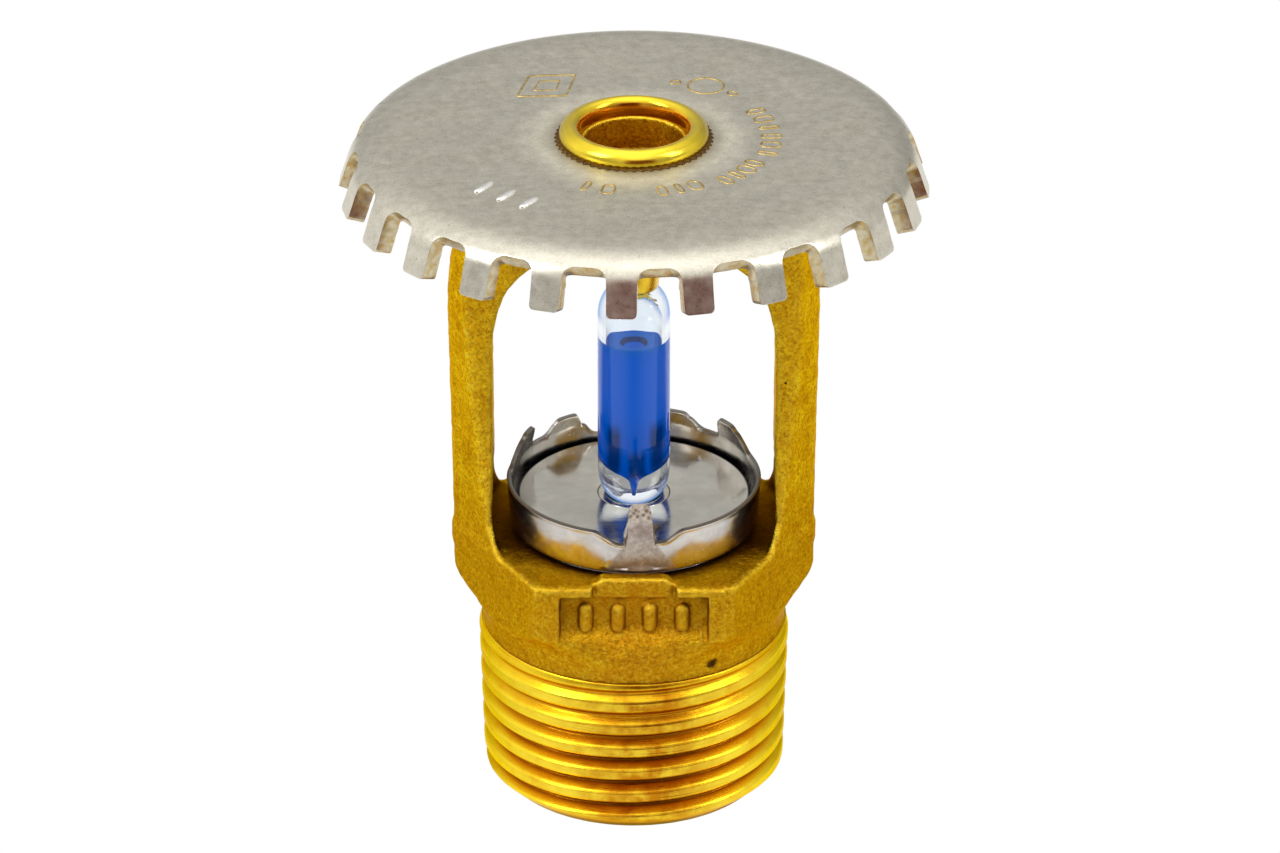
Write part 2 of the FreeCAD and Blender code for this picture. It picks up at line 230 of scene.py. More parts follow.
def helix_quads(rows, columns, per_pitch):
    i, j = np.meshgrid(np.arange(rows - 1), np.arange(columns - 1), indexing="ij")
    body = np.stack([i * columns + j, i * columns + j + 1,
                     (i + 1) * columns + j + 1, (i + 1) * columns + j], -1).reshape(-1, 4)
    # going once round climbs one pitch of rows
    i = np.arange(rows - 1 - per_pitch)
    seam = np.stack([i * columns + columns - 1, (i + per_pitch) * columns,
                     (i + per_pitch + 1) * columns, (i + 1) * columns + columns - 1], -1)
    return [body, seam]


def ring_strip(first, second, columns):
    """Quads between two rings, given their first point numbers."""
    j = np.arange(columns)
    j_next = (j + 1) % columns
    return np.stack([first + j, first + j_next, second + j_next, second + j], -1)


def add_rings(points, quads, start, rings, angles, downward=False):
    """Adds rings of (radius, z) in turn after the ring at start; returns the last one."""
    previous = start
    for radius, z in rings:
        current = sum(len(part) for part in points)
        points.append(around(radius, z, angles))
        pair = (current, previous) if downward else (previous, current)
        quads.append(ring_strip(*pair, len(angles)))
        previous = current
    return previous


# =====================================================================
# Cast frame: a distance field, meshed with surface nets
# =====================================================================
def smin(a, b, blend):
    h = np.maximum(blend - np.abs(a - b), 0) / blend
    return np.minimum(a, b) - h * h * blend * 0.25


def smax(a, b, blend):
    h = np.maximum(blend - np.abs(a - b), 0) / blend
    return np.maximum(a, b) + h * h * blend * 0.25


def slab(value, low, high):
    return np.maximum(value - high, low - value)


def polygon_field(x, z, polygon):
    """Signed distance to a polygon of (x, z), negative inside."""
    distance = np.full(np.broadcast(x, z).shape, 1e9, np.float32)
    sign = np.ones_like(distance)
    for i in range(len(polygon)):
        xi, zi = polygon[i]
        xj, zj = polygon[i - 1]
        edge_x, edge_z = xj - xi, zj - zi
        length = edge_x * edge_x + edge_z * edge_z
        if length < 1e-12:
            continue
        from_x, from_z = x - xi, z - zi
        t = np.clip((from_x * edge_x + from_z * edge_z) / length, 0, 1)
        gap_x, gap_z = from_x - edge_x * t, from_z - edge_z * t
        distance = np.minimum(distance, gap_x * gap_x + gap_z * gap_z)
        above = z >= zi
        below = z < zj
        left = edge_x * from_z > edge_z * from_x
        flip = (above & below & left) | (~above & ~below & ~left)
        sign = np.where(flip, -sign, sign)
    return sign * np.sqrt(distance)


def revolved_field(profile, radius, z, step):
    """Field of a profile of (radius, z) turned about Z."""
    stations = np.arange(0, 18, step / 2, dtype=np.float32)
    table = polygon_field(stations[:, None], z.ravel()[None, :], profile)
    field = np.empty((radius.shape[0], radius.shape[1], z.size), np.float32)
    for k in range(z.size):
        field[:, :, k] = np.interp(radius[:, :, 0], stations, table[:, k])
    return field


def surface_nets(field, origin, step):
    """Points and quads of the closed surface field = 0; the field is negative inside."""
    cell_counts = [size - 1 for size in field.shape]
    inside = field < 0
    cells, crossings, quads, flips = [], [], [], []
    for axis in range(3):
        near = [slice(None)] * 3
        far = [slice(None)] * 3
        near[axis] = slice(0, -1)
        far[axis] = slice(1, None)
        index = np.argwhere(inside[tuple(near)] != inside[tuple(far)])
        u, v = [other for other in range(3) if other != axis]
        keep = (index[:, u] > 0) & (index[:, u] < field.shape[u] - 1)
        keep &= (index[:, v] > 0) & (index[:, v] < field.shape[v] - 1)
        index = index[keep]
        ahead = index.copy()
        ahead[:, axis] += 1
        near_value = field[tuple(index.T)]
        far_value = field[tuple(ahead.T)]
        crossing = index.astype(np.float32)
        crossing[:, axis] += near_value / (near_value - far_value)
        corners = []
        for step_u, step_v in ((-1, -1), (0, -1), (0, 0), (-1, 0)):
            cell = index.copy()
            cell[:, u] += step_u
            cell[:, v] += step_v
            number = (cell[:, 0] * cell_counts[1] + cell[:, 1]) * cell_counts[2] + cell[:, 2]
            corners.append(number)
            crossings.append(crossing)
        cells += corners
        quads.append(np.stack(corners, 1))
        # u x v points along the axis for X and Z, and against it for Y
        starts_inside = near_value < 0
        flips.append(starts_inside if axis == 1 else ~starts_inside)
    crossings = np.concatenate(crossings)
    used, inverse = np.unique(np.concatenate(cells), return_inverse=True)
    counts = np.bincount(inverse)
    points = np.stack([np.bincount(inverse, weights=crossings[:, c]) / counts
                       for c in range(3)], 1)
    flips = np.concatenate(flips)
    quads = np.searchsorted(used, np.concatenate(quads))
    quads[flips] = quads[flips][:, ::-1]
    return np.asarray(origin) + points * step, quads


def grain(shape, seed, rounds):
    """Smooth noise on the grid, of about unit range."""
    rng = np.random.default_rng(seed)
    values = rng.standard_normal(shape, dtype=np.float32)
    for _ in range(rounds):
        for axis in range(3):
            values = (np.roll(values, 1, axis) + values + np.roll(values, -1, axis)) / 3
    return values / values.std()


# Six-sided base, written for the quarter with x and y above 0
SIDE_FACE = 11.0                # axis to the slanted side faces
SIDE_GROW = 0.29                # added to it higher up
FRONT_FACE = 10.2
OUTER_FACE = 12.55
OUTER_GROW = 0.33
PANEL_X = 5.15                  # half width of the sunk panel
PANEL_TOP = 18.8
PANEL_FACE = 9.55
PANEL_NECK_X = 2.9              # half width of the opening above the panel
BRACKET_X = 6.25                # outer edge of the brackets
BRACKET_TOP = 19.35
PIP_X = (1.1, 3.3)
PIP_Z = 16.95
PIP_R = 0.52

# Arm silhouette (x, z) from the base up, outside and inside
ARM_OUTSIDE = [(12.9, 18.0), (12.9, 25), (13.0, 33), (13.0, 36.8), (12.45, 40.4),
               (11.0, 43.6), (8.8, 45.9), (6.6, 46.9)]
ARM_INSIDE = [(9.15, 18.9), (9.3, 19.7), (9.62, 21.0), (9.7, 23), (9.7, 28), (9.7, 33.6),
              (9.45, 36.0), (8.7, 38.2), (7.2, 39.9), (5.3, 40.75), (3.6, 41.0)]
# Half width of the arms along Y: heights, widths
ARM_WIDTH = ([19.3, 20.2, 21.4, 27, 32, 39, 48], [5.95, 5.2, 4.4, 3.55, 2.85, 2.8, 2.8])
# Round relief inside the arms: heights, radii
ARM_RELIEF = ([18, 22.4, 24.6, 25], [10.35, 10.35, 9.55, 9.3])
# Turned shapes (radius, z)
BOSS = [(0, 40.45), (3.7, 40.45), (4.4, 40.8), (5.2, 42.3), (6.0, 45.0), (6.6, 46.6),
        (6.6, BOSS_TOP), (4.6, BOSS_TOP), (4.6, 48.7), (0, 48.7)]
WATERWAY = [(-2, 5), (BORE_R, 5), (BORE_R, 15.5), (6.6, 15.5), (6.6, 19.0), (7.95, 19.0),
            (7.95, 19.45), (8.25, 19.75), (8.25, 26), (-2, 26)]
SCREW_HOLE = [(-2, 38), (3.16, 38), (3.16, 46.3), (3.42, 46.3), (3.42, 49.5), (-2, 49.5)]


def six_sided_prism(x, y, z):
    grow = np.clip((z - BASE_TOP) / 17.5, 0, 1)
    side = math.cos(math.radians(30)) * x + 0.5 * y - (SIDE_FACE + SIDE_GROW * grow)
    return smax(side, x - (OUTER_FACE + OUTER_GROW * grow), 0.45)


def frame_base(prism, x, y, z, radius):
    base = smax(prism, y - FRONT_FACE, 0.40)
    underside = (radius - 12.75 + 1.16 * (15.95 - z)) * 0.653
    base = smax(base, underside, 0.45)
    base = smax(base, z - BASE_TOP, 0.45)
    # sunk panel, open at the top between the brackets
    cut = np.maximum(x - PANEL_X, slab(z, 11.5, PANEL_TOP))
    cut = np.minimum(cut, np.maximum(x - PANEL_NECK_X, slab(z, 11.5, 21)))
    cut = smax(cut, PANEL_FACE + 0.8 * np.clip((16.3 - z) / 1.4, 0, 1) - y, 0.2)
    base = smax(base, -cut, 0.22)
    # brackets beside and above the panel, a little proud
    upright = np.maximum(slab(x, PANEL_X, BRACKET_X), slab(z, 15.3, BRACKET_TOP))
    top_bar = np.maximum(slab(x, 3.0, BRACKET_X), slab(z, PANEL_TOP, BRACKET_TOP))
    base = smin(base, smax(np.minimum(upright, top_bar), slab(y, 9.4, 10.36), 0.3), 0.25)
    # block in the opening above the panel
    block = smax(x - (2.55 - 0.5 * np.clip(z - BASE_TOP, 0, 1)), z - 19.95, 0.3)
    block = smax(block, smax(y - 9.75, 8.7 - y, 0.3), 0.3)
    block = smax(block, 18.6 - z, 0.3)
    base = smin(base, block, 0.5)
    # upright rounded pips on the panel
    for pip_x in PIP_X:
        pip_z = np.maximum(np.abs(z - PIP_Z) - 0.62, 0)
        pip = np.sqrt((x - pip_x) ** 2 + (y - 9.62) ** 2 + pip_z ** 2) - PIP_R
        base = smin(base, pip, 0.10)
    return base


def frame_arms(prism, x, y, z, radius):
    outline = smooth_curve(ARM_OUTSIDE, 6) + [(3.2, 46.9), (3.2, 41.0)]
    outline += smooth_curve(ARM_INSIDE, 6)[::-1] + [(9.15, 18.0)]
    arms = smax(prism, polygon_field(x, z, outline), 0.5)
    arms = smax(arms, y - np.interp(z, *ARM_WIDTH).astype(np.float32), 0.5)
    relief_radius = np.interp(z, *ARM_RELIEF).astype(np.float32)
    relief = smax(radius - relief_radius, smax(z - 24.8, BASE_TOP - z, 0.6), 0.5)
    return smax(arms, -relief, 0.45)


def cast_frame():
    step = 0.13
    x_line = np.arange(0, 13.6, step, dtype=np.float32)
    y_line = np.arange(0, 11.3, step, dtype=np.float32)
    z_line = np.arange(11.6, 49.3, step, dtype=np.float32)
    x = x_line[:, None, None]
    y = y_line[None, :, None]
    z = z_line[None, None, :]
    radius = np.sqrt(x ** 2 + y ** 2)

    prism = six_sided_prism(x, y, z)
    collar = smax(radius - 10.5, z - 14.2, 1.2)
    body = smin(frame_base(prism, x, y, z, radius), collar, 1.3)
    body = smin(body, frame_arms(prism, x, y, z, radius), 0.55)
    body = smin(body, revolved_field(BOSS, radius, z, step), 0.9)
    # machined openings
    waterway = revolved_field(WATERWAY, radius, z, step)
    body = np.maximum(body, -np.where(z > 25, 5.0, waterway))
    body = np.maximum(body, -revolved_field(SCREW_HOLE, radius, z, step))
    # flat cuts under the deflector and at the bottom
    body = np.maximum(body, np.where(radius > 4.6, z - BOSS_TOP, -1))
    body = np.maximum(body, 12.06 - z)

    # mirror the quarter to the whole
    body = np.concatenate([body[:0:-1], body], 0)
    body = np.concatenate([body[:, :0:-1], body], 1)
    # cast grain, kept off the machined surfaces
    fine = grain(body.shape, 11, 3)
    coarse = grain(body.shape, 23, 14)
    x_full = np.concatenate([-x_line[:0:-1], x_line])
    y_full = np.concatenate([-y_line[:0:-1], y_line])
    radius = np.sqrt(x_full[:, None] ** 2 + y_full[None, :] ** 2)[:, :, None]
    as_cast = ((radius > 8.5) | (z > 26)) & ~((radius < 4.3) & (z > 38))
    body = body + np.where(as_cast, 0.009 * fine + 0.008 * coarse, 0)
    origin = (-x_line[-1], -y_line[-1], z_line[0])
    return new_obj("frame_casting", *surface_nets(body, origin, step))


def frame_thread():
    """Taper pipe thread as a helix-aligned grid, with its bore as the inner wall."""
    per_pitch = 40
    crest = 0.34
    root = 0.06
    angles, z, phase = helix(PITCH, per_pitch, 240, 0, THREAD_TOP, margin=per_pitch)
    # 60 degree groove with a rounded root and a narrow flat crest
    height = np.clip((np.abs(phase - 0.5) * 2 - root) / (1 - crest - root), 0, 1)
    height = 0.4 * height + 0.6 * height * height * (3 - 2 * height)
    height = height - 0.05 * np.exp(-((height - 1) / 0.08) ** 2) * (height < 1)
    z = np.clip(z, 0, THREAD_TOP)
    taper_line = THREAD_R + z * TAPER
    fade = np.interp(z, [6.5, 11.8], [0.70, 0.36])
    radius = taper_line - THREAD_DEPTH * (1 - height)[:, None] * fade
    # lead-in chamfer at the inlet end
    radius = np.minimum(radius, np.interp(z, [0, 0.22, 1.5, 3], [8.75, 9.2, 10.55, 12.0]))
    # the groove runs out under the collar
    runout = np.clip((z - (THREAD_TOP - 0.55)) / 0.5, 0, 1)
    radius = radius * (1 - runout) + np.minimum(taper_line, 10.62) * runout
    rows, columns = z.shape
    points = [around(radius, z, angles).reshape(-1, 3)]
    quads = helix_quads(rows, columns, per_pitch)
    # top face, bore and bottom face
    inner = rounded([(10.0, THREAD_TOP), (BORE_R, THREAD_TOP), (BORE_R, 1.0, 0.3),
                     (7.3, 0.05, 0.15), (7.5, 0.0), (8.6, 0.0)], closed=False)
    last = add_rings(points, quads, (rows - 1) * columns, inner, angles)
    quads.append(ring_strip(last, 0, columns))
    ob = new_obj("frame_thread", np.concatenate(points), np.concatenate(quads))
    clean(ob, 0.002)
    return ob


def rolled_rim():
    """Turned neck, rolled over the deflector, with the stepped cavity inside."""
    z = PLATE_Z
    profile = [(4.55, 47.0), (4.55, z - 0.02)]
    profile += smooth_curve([(4.92, z - 0.02), (5.06, z + 0.12), (5.09, z + 0.4),
                             (4.98, z + 0.72), (4.74, z + 0.98), (4.4, z + 1.13),
                             (4.08, z + 1.1), (3.84, z + 0.92), (3.72, z + 0.62),
                             (3.66, z + 0.3)], 5)
    profile += rounded([(3.62, z - 0.1), (3.6, z - 0.75, 0.1), (3.44, z - 0.9, 0.08),
                        (3.43, 47.05)], closed=False)
    return lathe("frame_rolled_rim", profile, 200)


# =====================================================================
# Deflector: bent sheet with twenty-four teeth
# =====================================================================
TEETH = 24
FIRST_TOOTH = 267.6             # degrees
TOOTH_HALF = 2.04 / 2
FLANK_R = 19.0                  # radius at which the tooth width is measured
SLOT_ROOT_R = 18.82
SLOT_CORNER = 0.88
TIP_CORNER = 0.32
FLAT_R = 12.0                   # flat sheet up to here; distance along it is the radius
TOOTH_COLUMNS = 14
SLOT_COLUMNS = 16
ROOT_ROWS = 10                  # from the last plain ring to the slot root
TOOTH_ROWS = 14
LAST_RING = 16.6
# Top side of the sheet (radius, z) from the flat to the tooth tip
SHEET_PATH = [(FLAT_R, PLATE_Z), (14.5, PLATE_Z), (15.8, PLATE_Z - 0.01),
              (16.7, PLATE_Z - 0.05), (17.5, PLATE_Z - 0.15), (18.25, PLATE_Z - 0.36),
              (18.85, PLATE_Z - 0.70), (19.25, PLATE_Z - 1.2), (19.5, PLATE_Z - 1.85),
              (19.78, PLATE_Z - 2.75), (20.1, 45.08)]


def corner_drop(radius, offset):
    """Depth of a rounded corner at an offset from its side."""
    return radius - math.sqrt(max(0, radius * radius - (radius - min(offset, radius)) ** 2))


def tooth_places():
    """Places of the columns across a tooth, 0 to 1, denser near its flanks."""
    places = []
    for column in range(TOOTH_COLUMNS + 1):
        swing = math.cos(math.pi * column / TOOTH_COLUMNS)
        places.append(0.5 - 0.5 * swing * (0.86 + 0.14 * abs(swing)))
    return [(p - places[0]) / (places[-1] - places[0]) for p in places]


def deflector_surface():
    """Points and quads of the top side; stations are distances along the sheet."""
    path = np.array(smooth_curve(SHEET_PATH, 10))
    along = FLAT_R + np.concatenate([[0], np.cumsum(np.hypot(*np.diff(path, axis=0).T))])
    tip_run = path[-1] - path[-2]
    tip_run = tip_run / np.hypot(*tip_run)
    tip = along[-1]
    root = float(np.interp(SLOT_ROOT_R, path[:, 0], along))
    root_end = root + SLOT_CORNER
    sector = 2 * math.pi / TEETH
    half_angle = math.asin(TOOTH_HALF / FLANK_R)
    slot_angle = sector - 2 * half_angle
    slot_gap = FLANK_R * slot_angle
    places = tooth_places()
    wobble = np.random.default_rng(5).uniform(-1, 1, (TEETH, 3))
    points, numbers, faces = [], {}, []

    def at(station):
        return np.interp(station, along, path[:, 0]), np.interp(station, along, path[:, 1])

    def point_number(station, angle):
        """Number of the point there, made if it is new."""
        key = (round(station, 5), round(angle % (2 * math.pi), 6))
        if key not in numbers:
            radius, z = (station, PLATE_Z) if station <= FLAT_R else at(station)
            points.append((radius * math.cos(angle), radius * math.sin(angle), z))
            numbers[key] = len(points) - 1
        return numbers[key]

    def column_angle(column, aligned):
        """Angle from the tooth centre; aligned 0 spaces the slot evenly, 1 by its root."""
        if column <= TOOTH_COLUMNS:
            return -half_angle + 2 * half_angle * places[column]
        u = (column - TOOTH_COLUMNS) / SLOT_COLUMNS
        u = u * (1 - aligned) + (0.5 - 0.5 * math.cos(math.pi * u)) * aligned
        return half_angle + slot_angle * u

    def root_station(column):
        if column <= TOOTH_COLUMNS:
            return root_end
        u = (column - TOOTH_COLUMNS) / SLOT_COLUMNS
        offset = slot_gap * (0.5 - 0.5 * math.cos(math.pi * u))
        return root + corner_drop(SLOT_CORNER, min(offset, slot_gap - offset))

    def connect(previous, current):
        for c in range(len(current) - 1):
            faces.append((previous[c], previous[c + 1], current[c + 1], current[c]))

    columns = range(TOOTH_COLUMNS + SLOT_COLUMNS + 1)
    root_line = [root_station(c) for c in columns]
    rows = [([station] * len(columns), 0) for station in
            list(np.concatenate([np.linspace(5.17, 11.5, 12), np.linspace(12.2, LAST_RING, 12)]))]
    for k in range(1, ROOT_ROWS + 1):
        stations = [LAST_RING + (end - LAST_RING) * k / ROOT_ROWS for end in root_line]
        rows.append((stations, k / ROOT_ROWS))

    for tooth in range(TEETH):
        centre = math.radians(FIRST_TOOTH) + sector * tooth
        cos_centre, sin_centre = math.cos(centre), math.sin(centre)
        previous = None
        for stations, aligned in rows:
            current = [point_number(stations[c], centre + column_angle(c, aligned))
                       for c in columns]
            if previous is not None:
                connect(previous, current)
            previous = current
        # the tooth: parallel flanks to a lightly rounded tip
        previous = previous[:TOOTH_COLUMNS + 1]
        for k in range(1, TOOTH_ROWS + 1):
            f = k / TOOTH_ROWS
            blend = min(1, f * 3)       # from the bent sheet to a flat tooth face
            current = []
            for c in range(TOOTH_COLUMNS + 1):
                offset = -TOOTH_HALF + 2 * TOOTH_HALF * places[c]
                end = (tip + 0.10 * wobble[tooth, 0]
                       - corner_drop(TIP_CORNER, TOOTH_HALF - abs(offset)))
                station = root_end + (end - root_end) * f
                radius, z = at(min(station, tip))
                if station > tip:
                    radius += (station - tip) * tip_run[0]
                    z += (station - tip) * tip_run[1]
                angle = half_angle * (offset / TOOTH_HALF)
                x = radius * math.cos(angle) * (1 - blend) + radius * blend
                y = radius * math.sin(angle) * (1 - blend) + offset * blend
                points.append((x * cos_centre - y * sin_centre,
                               x * sin_centre + y * cos_centre, z))
                current.append(len(points) - 1)
            connect(previous, current)
            previous = current
    return np.array(points), np.array(faces)


def deflector():
    ob = new_obj("deflector_plate", *deflector_surface())
    clean(ob, 0.004)
    # the faces must point up before thickening
    if sum(p.normal.z * p.area for p in ob.data.polygons) < 0:
        ob.data.flip_normals()
    thicken(ob, SHEET, bevel=0.14, segments=3, angle=48)
    return ob


def bmesh_ring(bm, loop, z):
    return [bm.verts.new((x * MM, y * MM, z * MM)) for x, y in loop]


def bmesh_band(bm, first, second):
    for k in range(len(first)):
        k_next = (k + 1) % len(first)
        bm.faces.new((first[k], first[k_next], second[k_next], second[k]))


def outline(bm, loop, half_width, height):
    """A low raised line along a closed loop of (x, y), flat-topped with sloped sides."""
    loop = np.array(loop, float)
    along = np.roll(loop, -1, 0) - np.roll(loop, 1, 0)
    along /= np.hypot(along[:, 0], along[:, 1])[:, None]
    normal = np.stack([along[:, 1], -along[:, 0]], 1)
    rings = [bmesh_ring(bm, loop + normal * half_width * side, PLATE_Z + rise)
             for side, rise in ((1.0, -0.05), (0.62, height), (-0.62, height), (-1.0, -0.05))]
    for i in range(4):
        bmesh_band(bm, rings[i], rings[(i + 1) % 4])


def super_loop(cx, cy, angle, length, width, count=18, power=0.72):
    """Superellipse as a closed loop of (x, y)."""
    out = []
    for k in range(count):
        q = 2 * math.pi * k / count
        x = math.copysign(abs(math.cos(q)) ** power, math.cos(q)) * length / 2
        y = math.copysign(abs(math.sin(q)) ** power, math.sin(q)) * width / 2
        out.append((cx + x * math.cos(angle) - y * math.sin(angle),
                    cy + x * math.sin(angle) + y * math.cos(angle)))
    return out


# Arcs of ticks: radius, first and last angle in degrees, count
TICK_ARCS = ((9.35, 27.0, -15.0, 6), (9.05, -26.0, -47.0, 4), (8.5, -61.0, -77.0, 3),
             (8.2, -102.0, -113.0, 2))
TICK_LENGTHS = (0.62, 0.86, 0.40)
TICK_WIDTH = 1.35
# A ring with a dot on each side: x, y, angle, length, width, points, line half width
RING_AND_DOTS = ((4.95, 8.35, 0, 2.5, 2.5, 28, 0.10), (2.85, 8.95, 0.3, 0.75, 0.6, 12, 0.08),
                 (6.75, 7.1, -0.8, 0.75, 0.6, 12, 0.08))
LOZENGE = [(-8.05, 6.65), (-4.65, 6.75), (-4.0, 10.2), (-7.2, 9.95)]
LOZENGE_CENTRE = (-5.97, 8.4)
BAR_CENTRES = ((-10.05, -7.75), (-8.55, -9.0), (-7.0, -10.1))


def plate_marks():
    """Plain outlined ticks, a ring and a lozenge on the deflector, without lettering."""
    bm = bmesh.new()
    tick = 0
    for radius, first, last, count in TICK_ARCS:
        for i in range(count):
            a = math.radians(first + (last - first) * i / (count - 1))
            loop = super_loop(radius * math.cos(a), radius * math.sin(a), a + math.pi / 2,
                              TICK_LENGTHS[tick % 3], TICK_WIDTH)
            outline(bm, loop, half_width=0.10, height=0.035)
            tick += 1
    for *shape, half_width in RING_AND_DOTS:
        outline(bm, super_loop(*shape, power=1.0), half_width, height=0.035)
    loop = []
    for i in range(4):
        start, end = np.array(LOZENGE[i]), np.array(LOZENGE[(i + 1) % 4])
        for f in (0.04, 0.25, 0.5, 0.75, 0.96):
            loop.append(tuple(start + (end - start) * f))
    outline(bm, loop, half_width=0.10, height=0.035)
    centre = np.array(LOZENGE_CENTRE)
    inner = [tuple(centre + (np.array(p) - centre) * 0.45) for p in loop]
    outline(bm, inner, half_width=0.075, height=0.03)
    bmesh.ops.recalc_face_normals(bm, faces=bm.faces)
    return object_from_bmesh(bm, "deflector_ring_marks")


def raised_bars():
    """Three plain raised bars near the front left edge of the plate."""
    bm = bmesh.new()
    for cx, cy in BAR_CENTRES:
        rings = []
        for scale, rise in ((1.0, -0.06), (0.86, 0.07), (0.55, 0.13), (0.2, 0.145)):
            loop = super_loop(cx, cy, math.radians(52), length=1.5 + 0.55 * scale,
                              width=0.62 * scale, count=20, power=0.85)
            rings.append(bmesh_ring(bm, loop, PLATE_Z + rise))
        for i in range(3):
            bmesh_band(bm, rings[i], rings[i + 1])
        bm.faces.new(rings[3])
        bm.faces.new(rings[0][::-1])
    bmesh.ops.recalc_face_normals(bm, faces=bm.faces)
    return object_from_bmesh(bm, "deflector_raised_bars")


# Staking ring section: radius, height over the plate, depth of the serration
STAKING = ((4.95, -0.12, 0), (4.95, 0.16, 0), (5.1, 0.15, 0.06), (5.26, 0.09, 0.09),
           (5.3, 0.0, 0.13), (5.28, -0.12, 0.10))


def staking_ring():
    """Small serrations pressed into the sheet round the rolled rim."""
    serrations = 56
    columns = serrations * 8
    angles = turn(columns)
    wave = 0.5 + 0.5 * np.cos(angles * serrations)
    rings = [around(radius + depth * 1.6 * (wave - 0.3),
                    PLATE_Z + rise - depth * 0.2 * (1 - wave), angles)
             for radius, rise, depth in STAKING]
    ob = new_obj("deflector_staking_ring", np.concatenate(rings),
                 ring_quads(len(rings), columns, closed=True))
    clean(ob, 0.0005)
    return ob


# =====================================================================
# Sealing stack, bulb and load screw
# =====================================================================
# Crown tabs, counter-clockwise from +X: angle, reach before and after it, top z,
# width of the slope before and after
CROWN_TABS = ((36.5, 0.95, 1.05, 24.6, 1.7, 0.4), (69.5, 1.0, 1.0, 24.0, 1.1, 0.45),
              (124.5, 1.0, 1.0, 24.0, 0.45, 0.8), (155, 0.75, 1.0, 24.8, 0.4, 2.2),
              (FRONT_TAB, 0.80, 0.80, 24.7, 0.18, 0.18))
# Wall: heights, radii; it flares to the rim, then the tabs lean in
CROWN_WALL = ([19.7, 20.1, 21.5, 22.4, CUP_RIM, 23.3, 24.0, 24.9],
              [8.54, 8.60, 8.70, 8.75, 8.74, 8.62, 8.4, 8.08])
# Flat facet at the front: heights, half widths
CROWN_FACET = ([19.9, 21.2, 22.4, 24.9], [2.3, 1.4, 0.95, 0.9])
WALL_ROWS = 22


def smoothstep(u):
    u = np.clip(u, 0, 1)
    return u * u * (3 - 2 * u)


def distance_round(degrees, centre):
    """Distance round the cup wall from a centre angle, counter-clockwise positive."""
    return np.radians((degrees - centre + 180) % 360 - 180) * CUP_R


def crown_edge(degrees):
    """Height of the cup's top edge at each angle."""
    top = np.full(len(degrees), CUP_RIM)
    # a notch on each side of the front tab
    d = distance_round(degrees, FRONT_TAB)
    before = 0.86 * (1 - smoothstep((-d - 1.45) / 1.9))
    after = 0.74 * (1 - smoothstep((d - 1.6) / 1.5))
    top -= np.where(d < 0, before, after)
    # cut-down rim between the two rear tabs
    between = (degrees > 79) & (degrees < 114)
    low = 21.95 + 0.9 * np.clip(np.abs(degrees - 96.5) / 17.5, 0, 1) ** 6
    top = np.where(between, np.minimum(top, low), top)
    for centre, reach_before, reach_after, z, slope_before, slope_after in CROWN_TABS:
        d = distance_round(degrees, centre)
        rise = smoothstep(np.minimum((d + reach_before + slope_before) / slope_before,
                                     (reach_after + slope_after - d) / slope_after))
        corner = np.clip(np.minimum(d + reach_before, reach_after - d) / 0.5, 0, 1)
        tab = z - 0.35 * (1 - np.sqrt(np.clip(1 - (1 - corner) ** 2, 0, 1)))
        top = np.maximum(top, np.where(rise > 0.001, top + (tab - top) * rise, top))
    return top


def crown():
    """Stainless cup: floor, flared wall and five upright tabs, as one bent sheet."""
    columns = 720
    angles = turn(columns)
    degrees = np.degrees(angles)
    top = crown_edge(degrees)
    corner = rounded([(7.2, CUP_FLOOR), (8.54, CUP_FLOOR, 0.34), (8.76, CUP_RIM)],
                     closed=False, steps=5)[1:-1]
    floor = [(3.68, CUP_FLOOR), (5.5, CUP_FLOOR), (7.2, CUP_FLOOR)]
    rings = [around(radius, z, angles) for radius, z in floor + corner]
    wall_foot = corner[-1][1]
    front = np.abs(distance_round(degrees, FRONT_TAB))
    front_angle = front / CUP_R
    for k in range(1, WALL_ROWS + 1):
        f = k / WALL_ROWS
        z = wall_foot + (top - wall_foot) * f
        radius = np.interp(z, *CROWN_WALL)
        # plain rim rolls out a touch
        radius = radius + 0.07 * (np.clip(1 - (top - CUP_RIM) / 0.3, 0, 1)
                                  * np.clip((f - 0.9) / 0.1, 0, 1))
        # the front tab's tip is bent further in
        tip = np.clip(1 - (front - 0.9) / 0.5, 0, 1)
        radius = radius - tip * np.clip((z - 23.5) / 1.2, 0, 1) ** 1.5 * 0.55
        # the front tab and the wall under it are one flat facet
        facet = np.interp(z, *CROWN_FACET) / CUP_R
        flat = (radius * np.cos(facet) / np.cos(np.minimum(front_angle, facet))
                + 0.10 * (1 - np.clip(front_angle / facet, 0, 1) ** 2))
        radius = np.where(front_angle < facet, flat, radius)
        rings.append(around(radius, z, angles))
    ob = new_obj("crown_cup_sheet", np.concatenate(rings),
                 ring_quads(len(rings), columns, closed=False))
    # two rows of the wall tell whether its faces point away from the axis
    outward = sum(p.normal.x * p.center.x + p.normal.y * p.center.y
                  for p in ob.data.polygons[columns * 12:columns * 14])
    if outward < 0:
        ob.data.flip_normals()
    thicken(ob, 0.30, bevel=0.05, segments=2, angle=50)
    return ob


SEAT_FLOOR = 19.22
CAP_TOP = 21.65


def cap():
    foot = 20.02
    profile = rounded(
        [(0, 18.0), (2.9, 18.0, 0.3), (3.3, 18.5, 0.3), (3.3, foot), (7.58, foot, 0.1),
         (7.93, foot + 0.4, 0.15), (8.08, CAP_TOP - 0.08, 0.12), (7.96, CAP_TOP, 0.05),
         (2.52, CAP_TOP, 0.04), (2.5, SEAT_FLOOR), (0, SEAT_FLOOR)], closed=False, steps=5)
    return lathe("pip_cap_plate", profile, 200, closed=False)


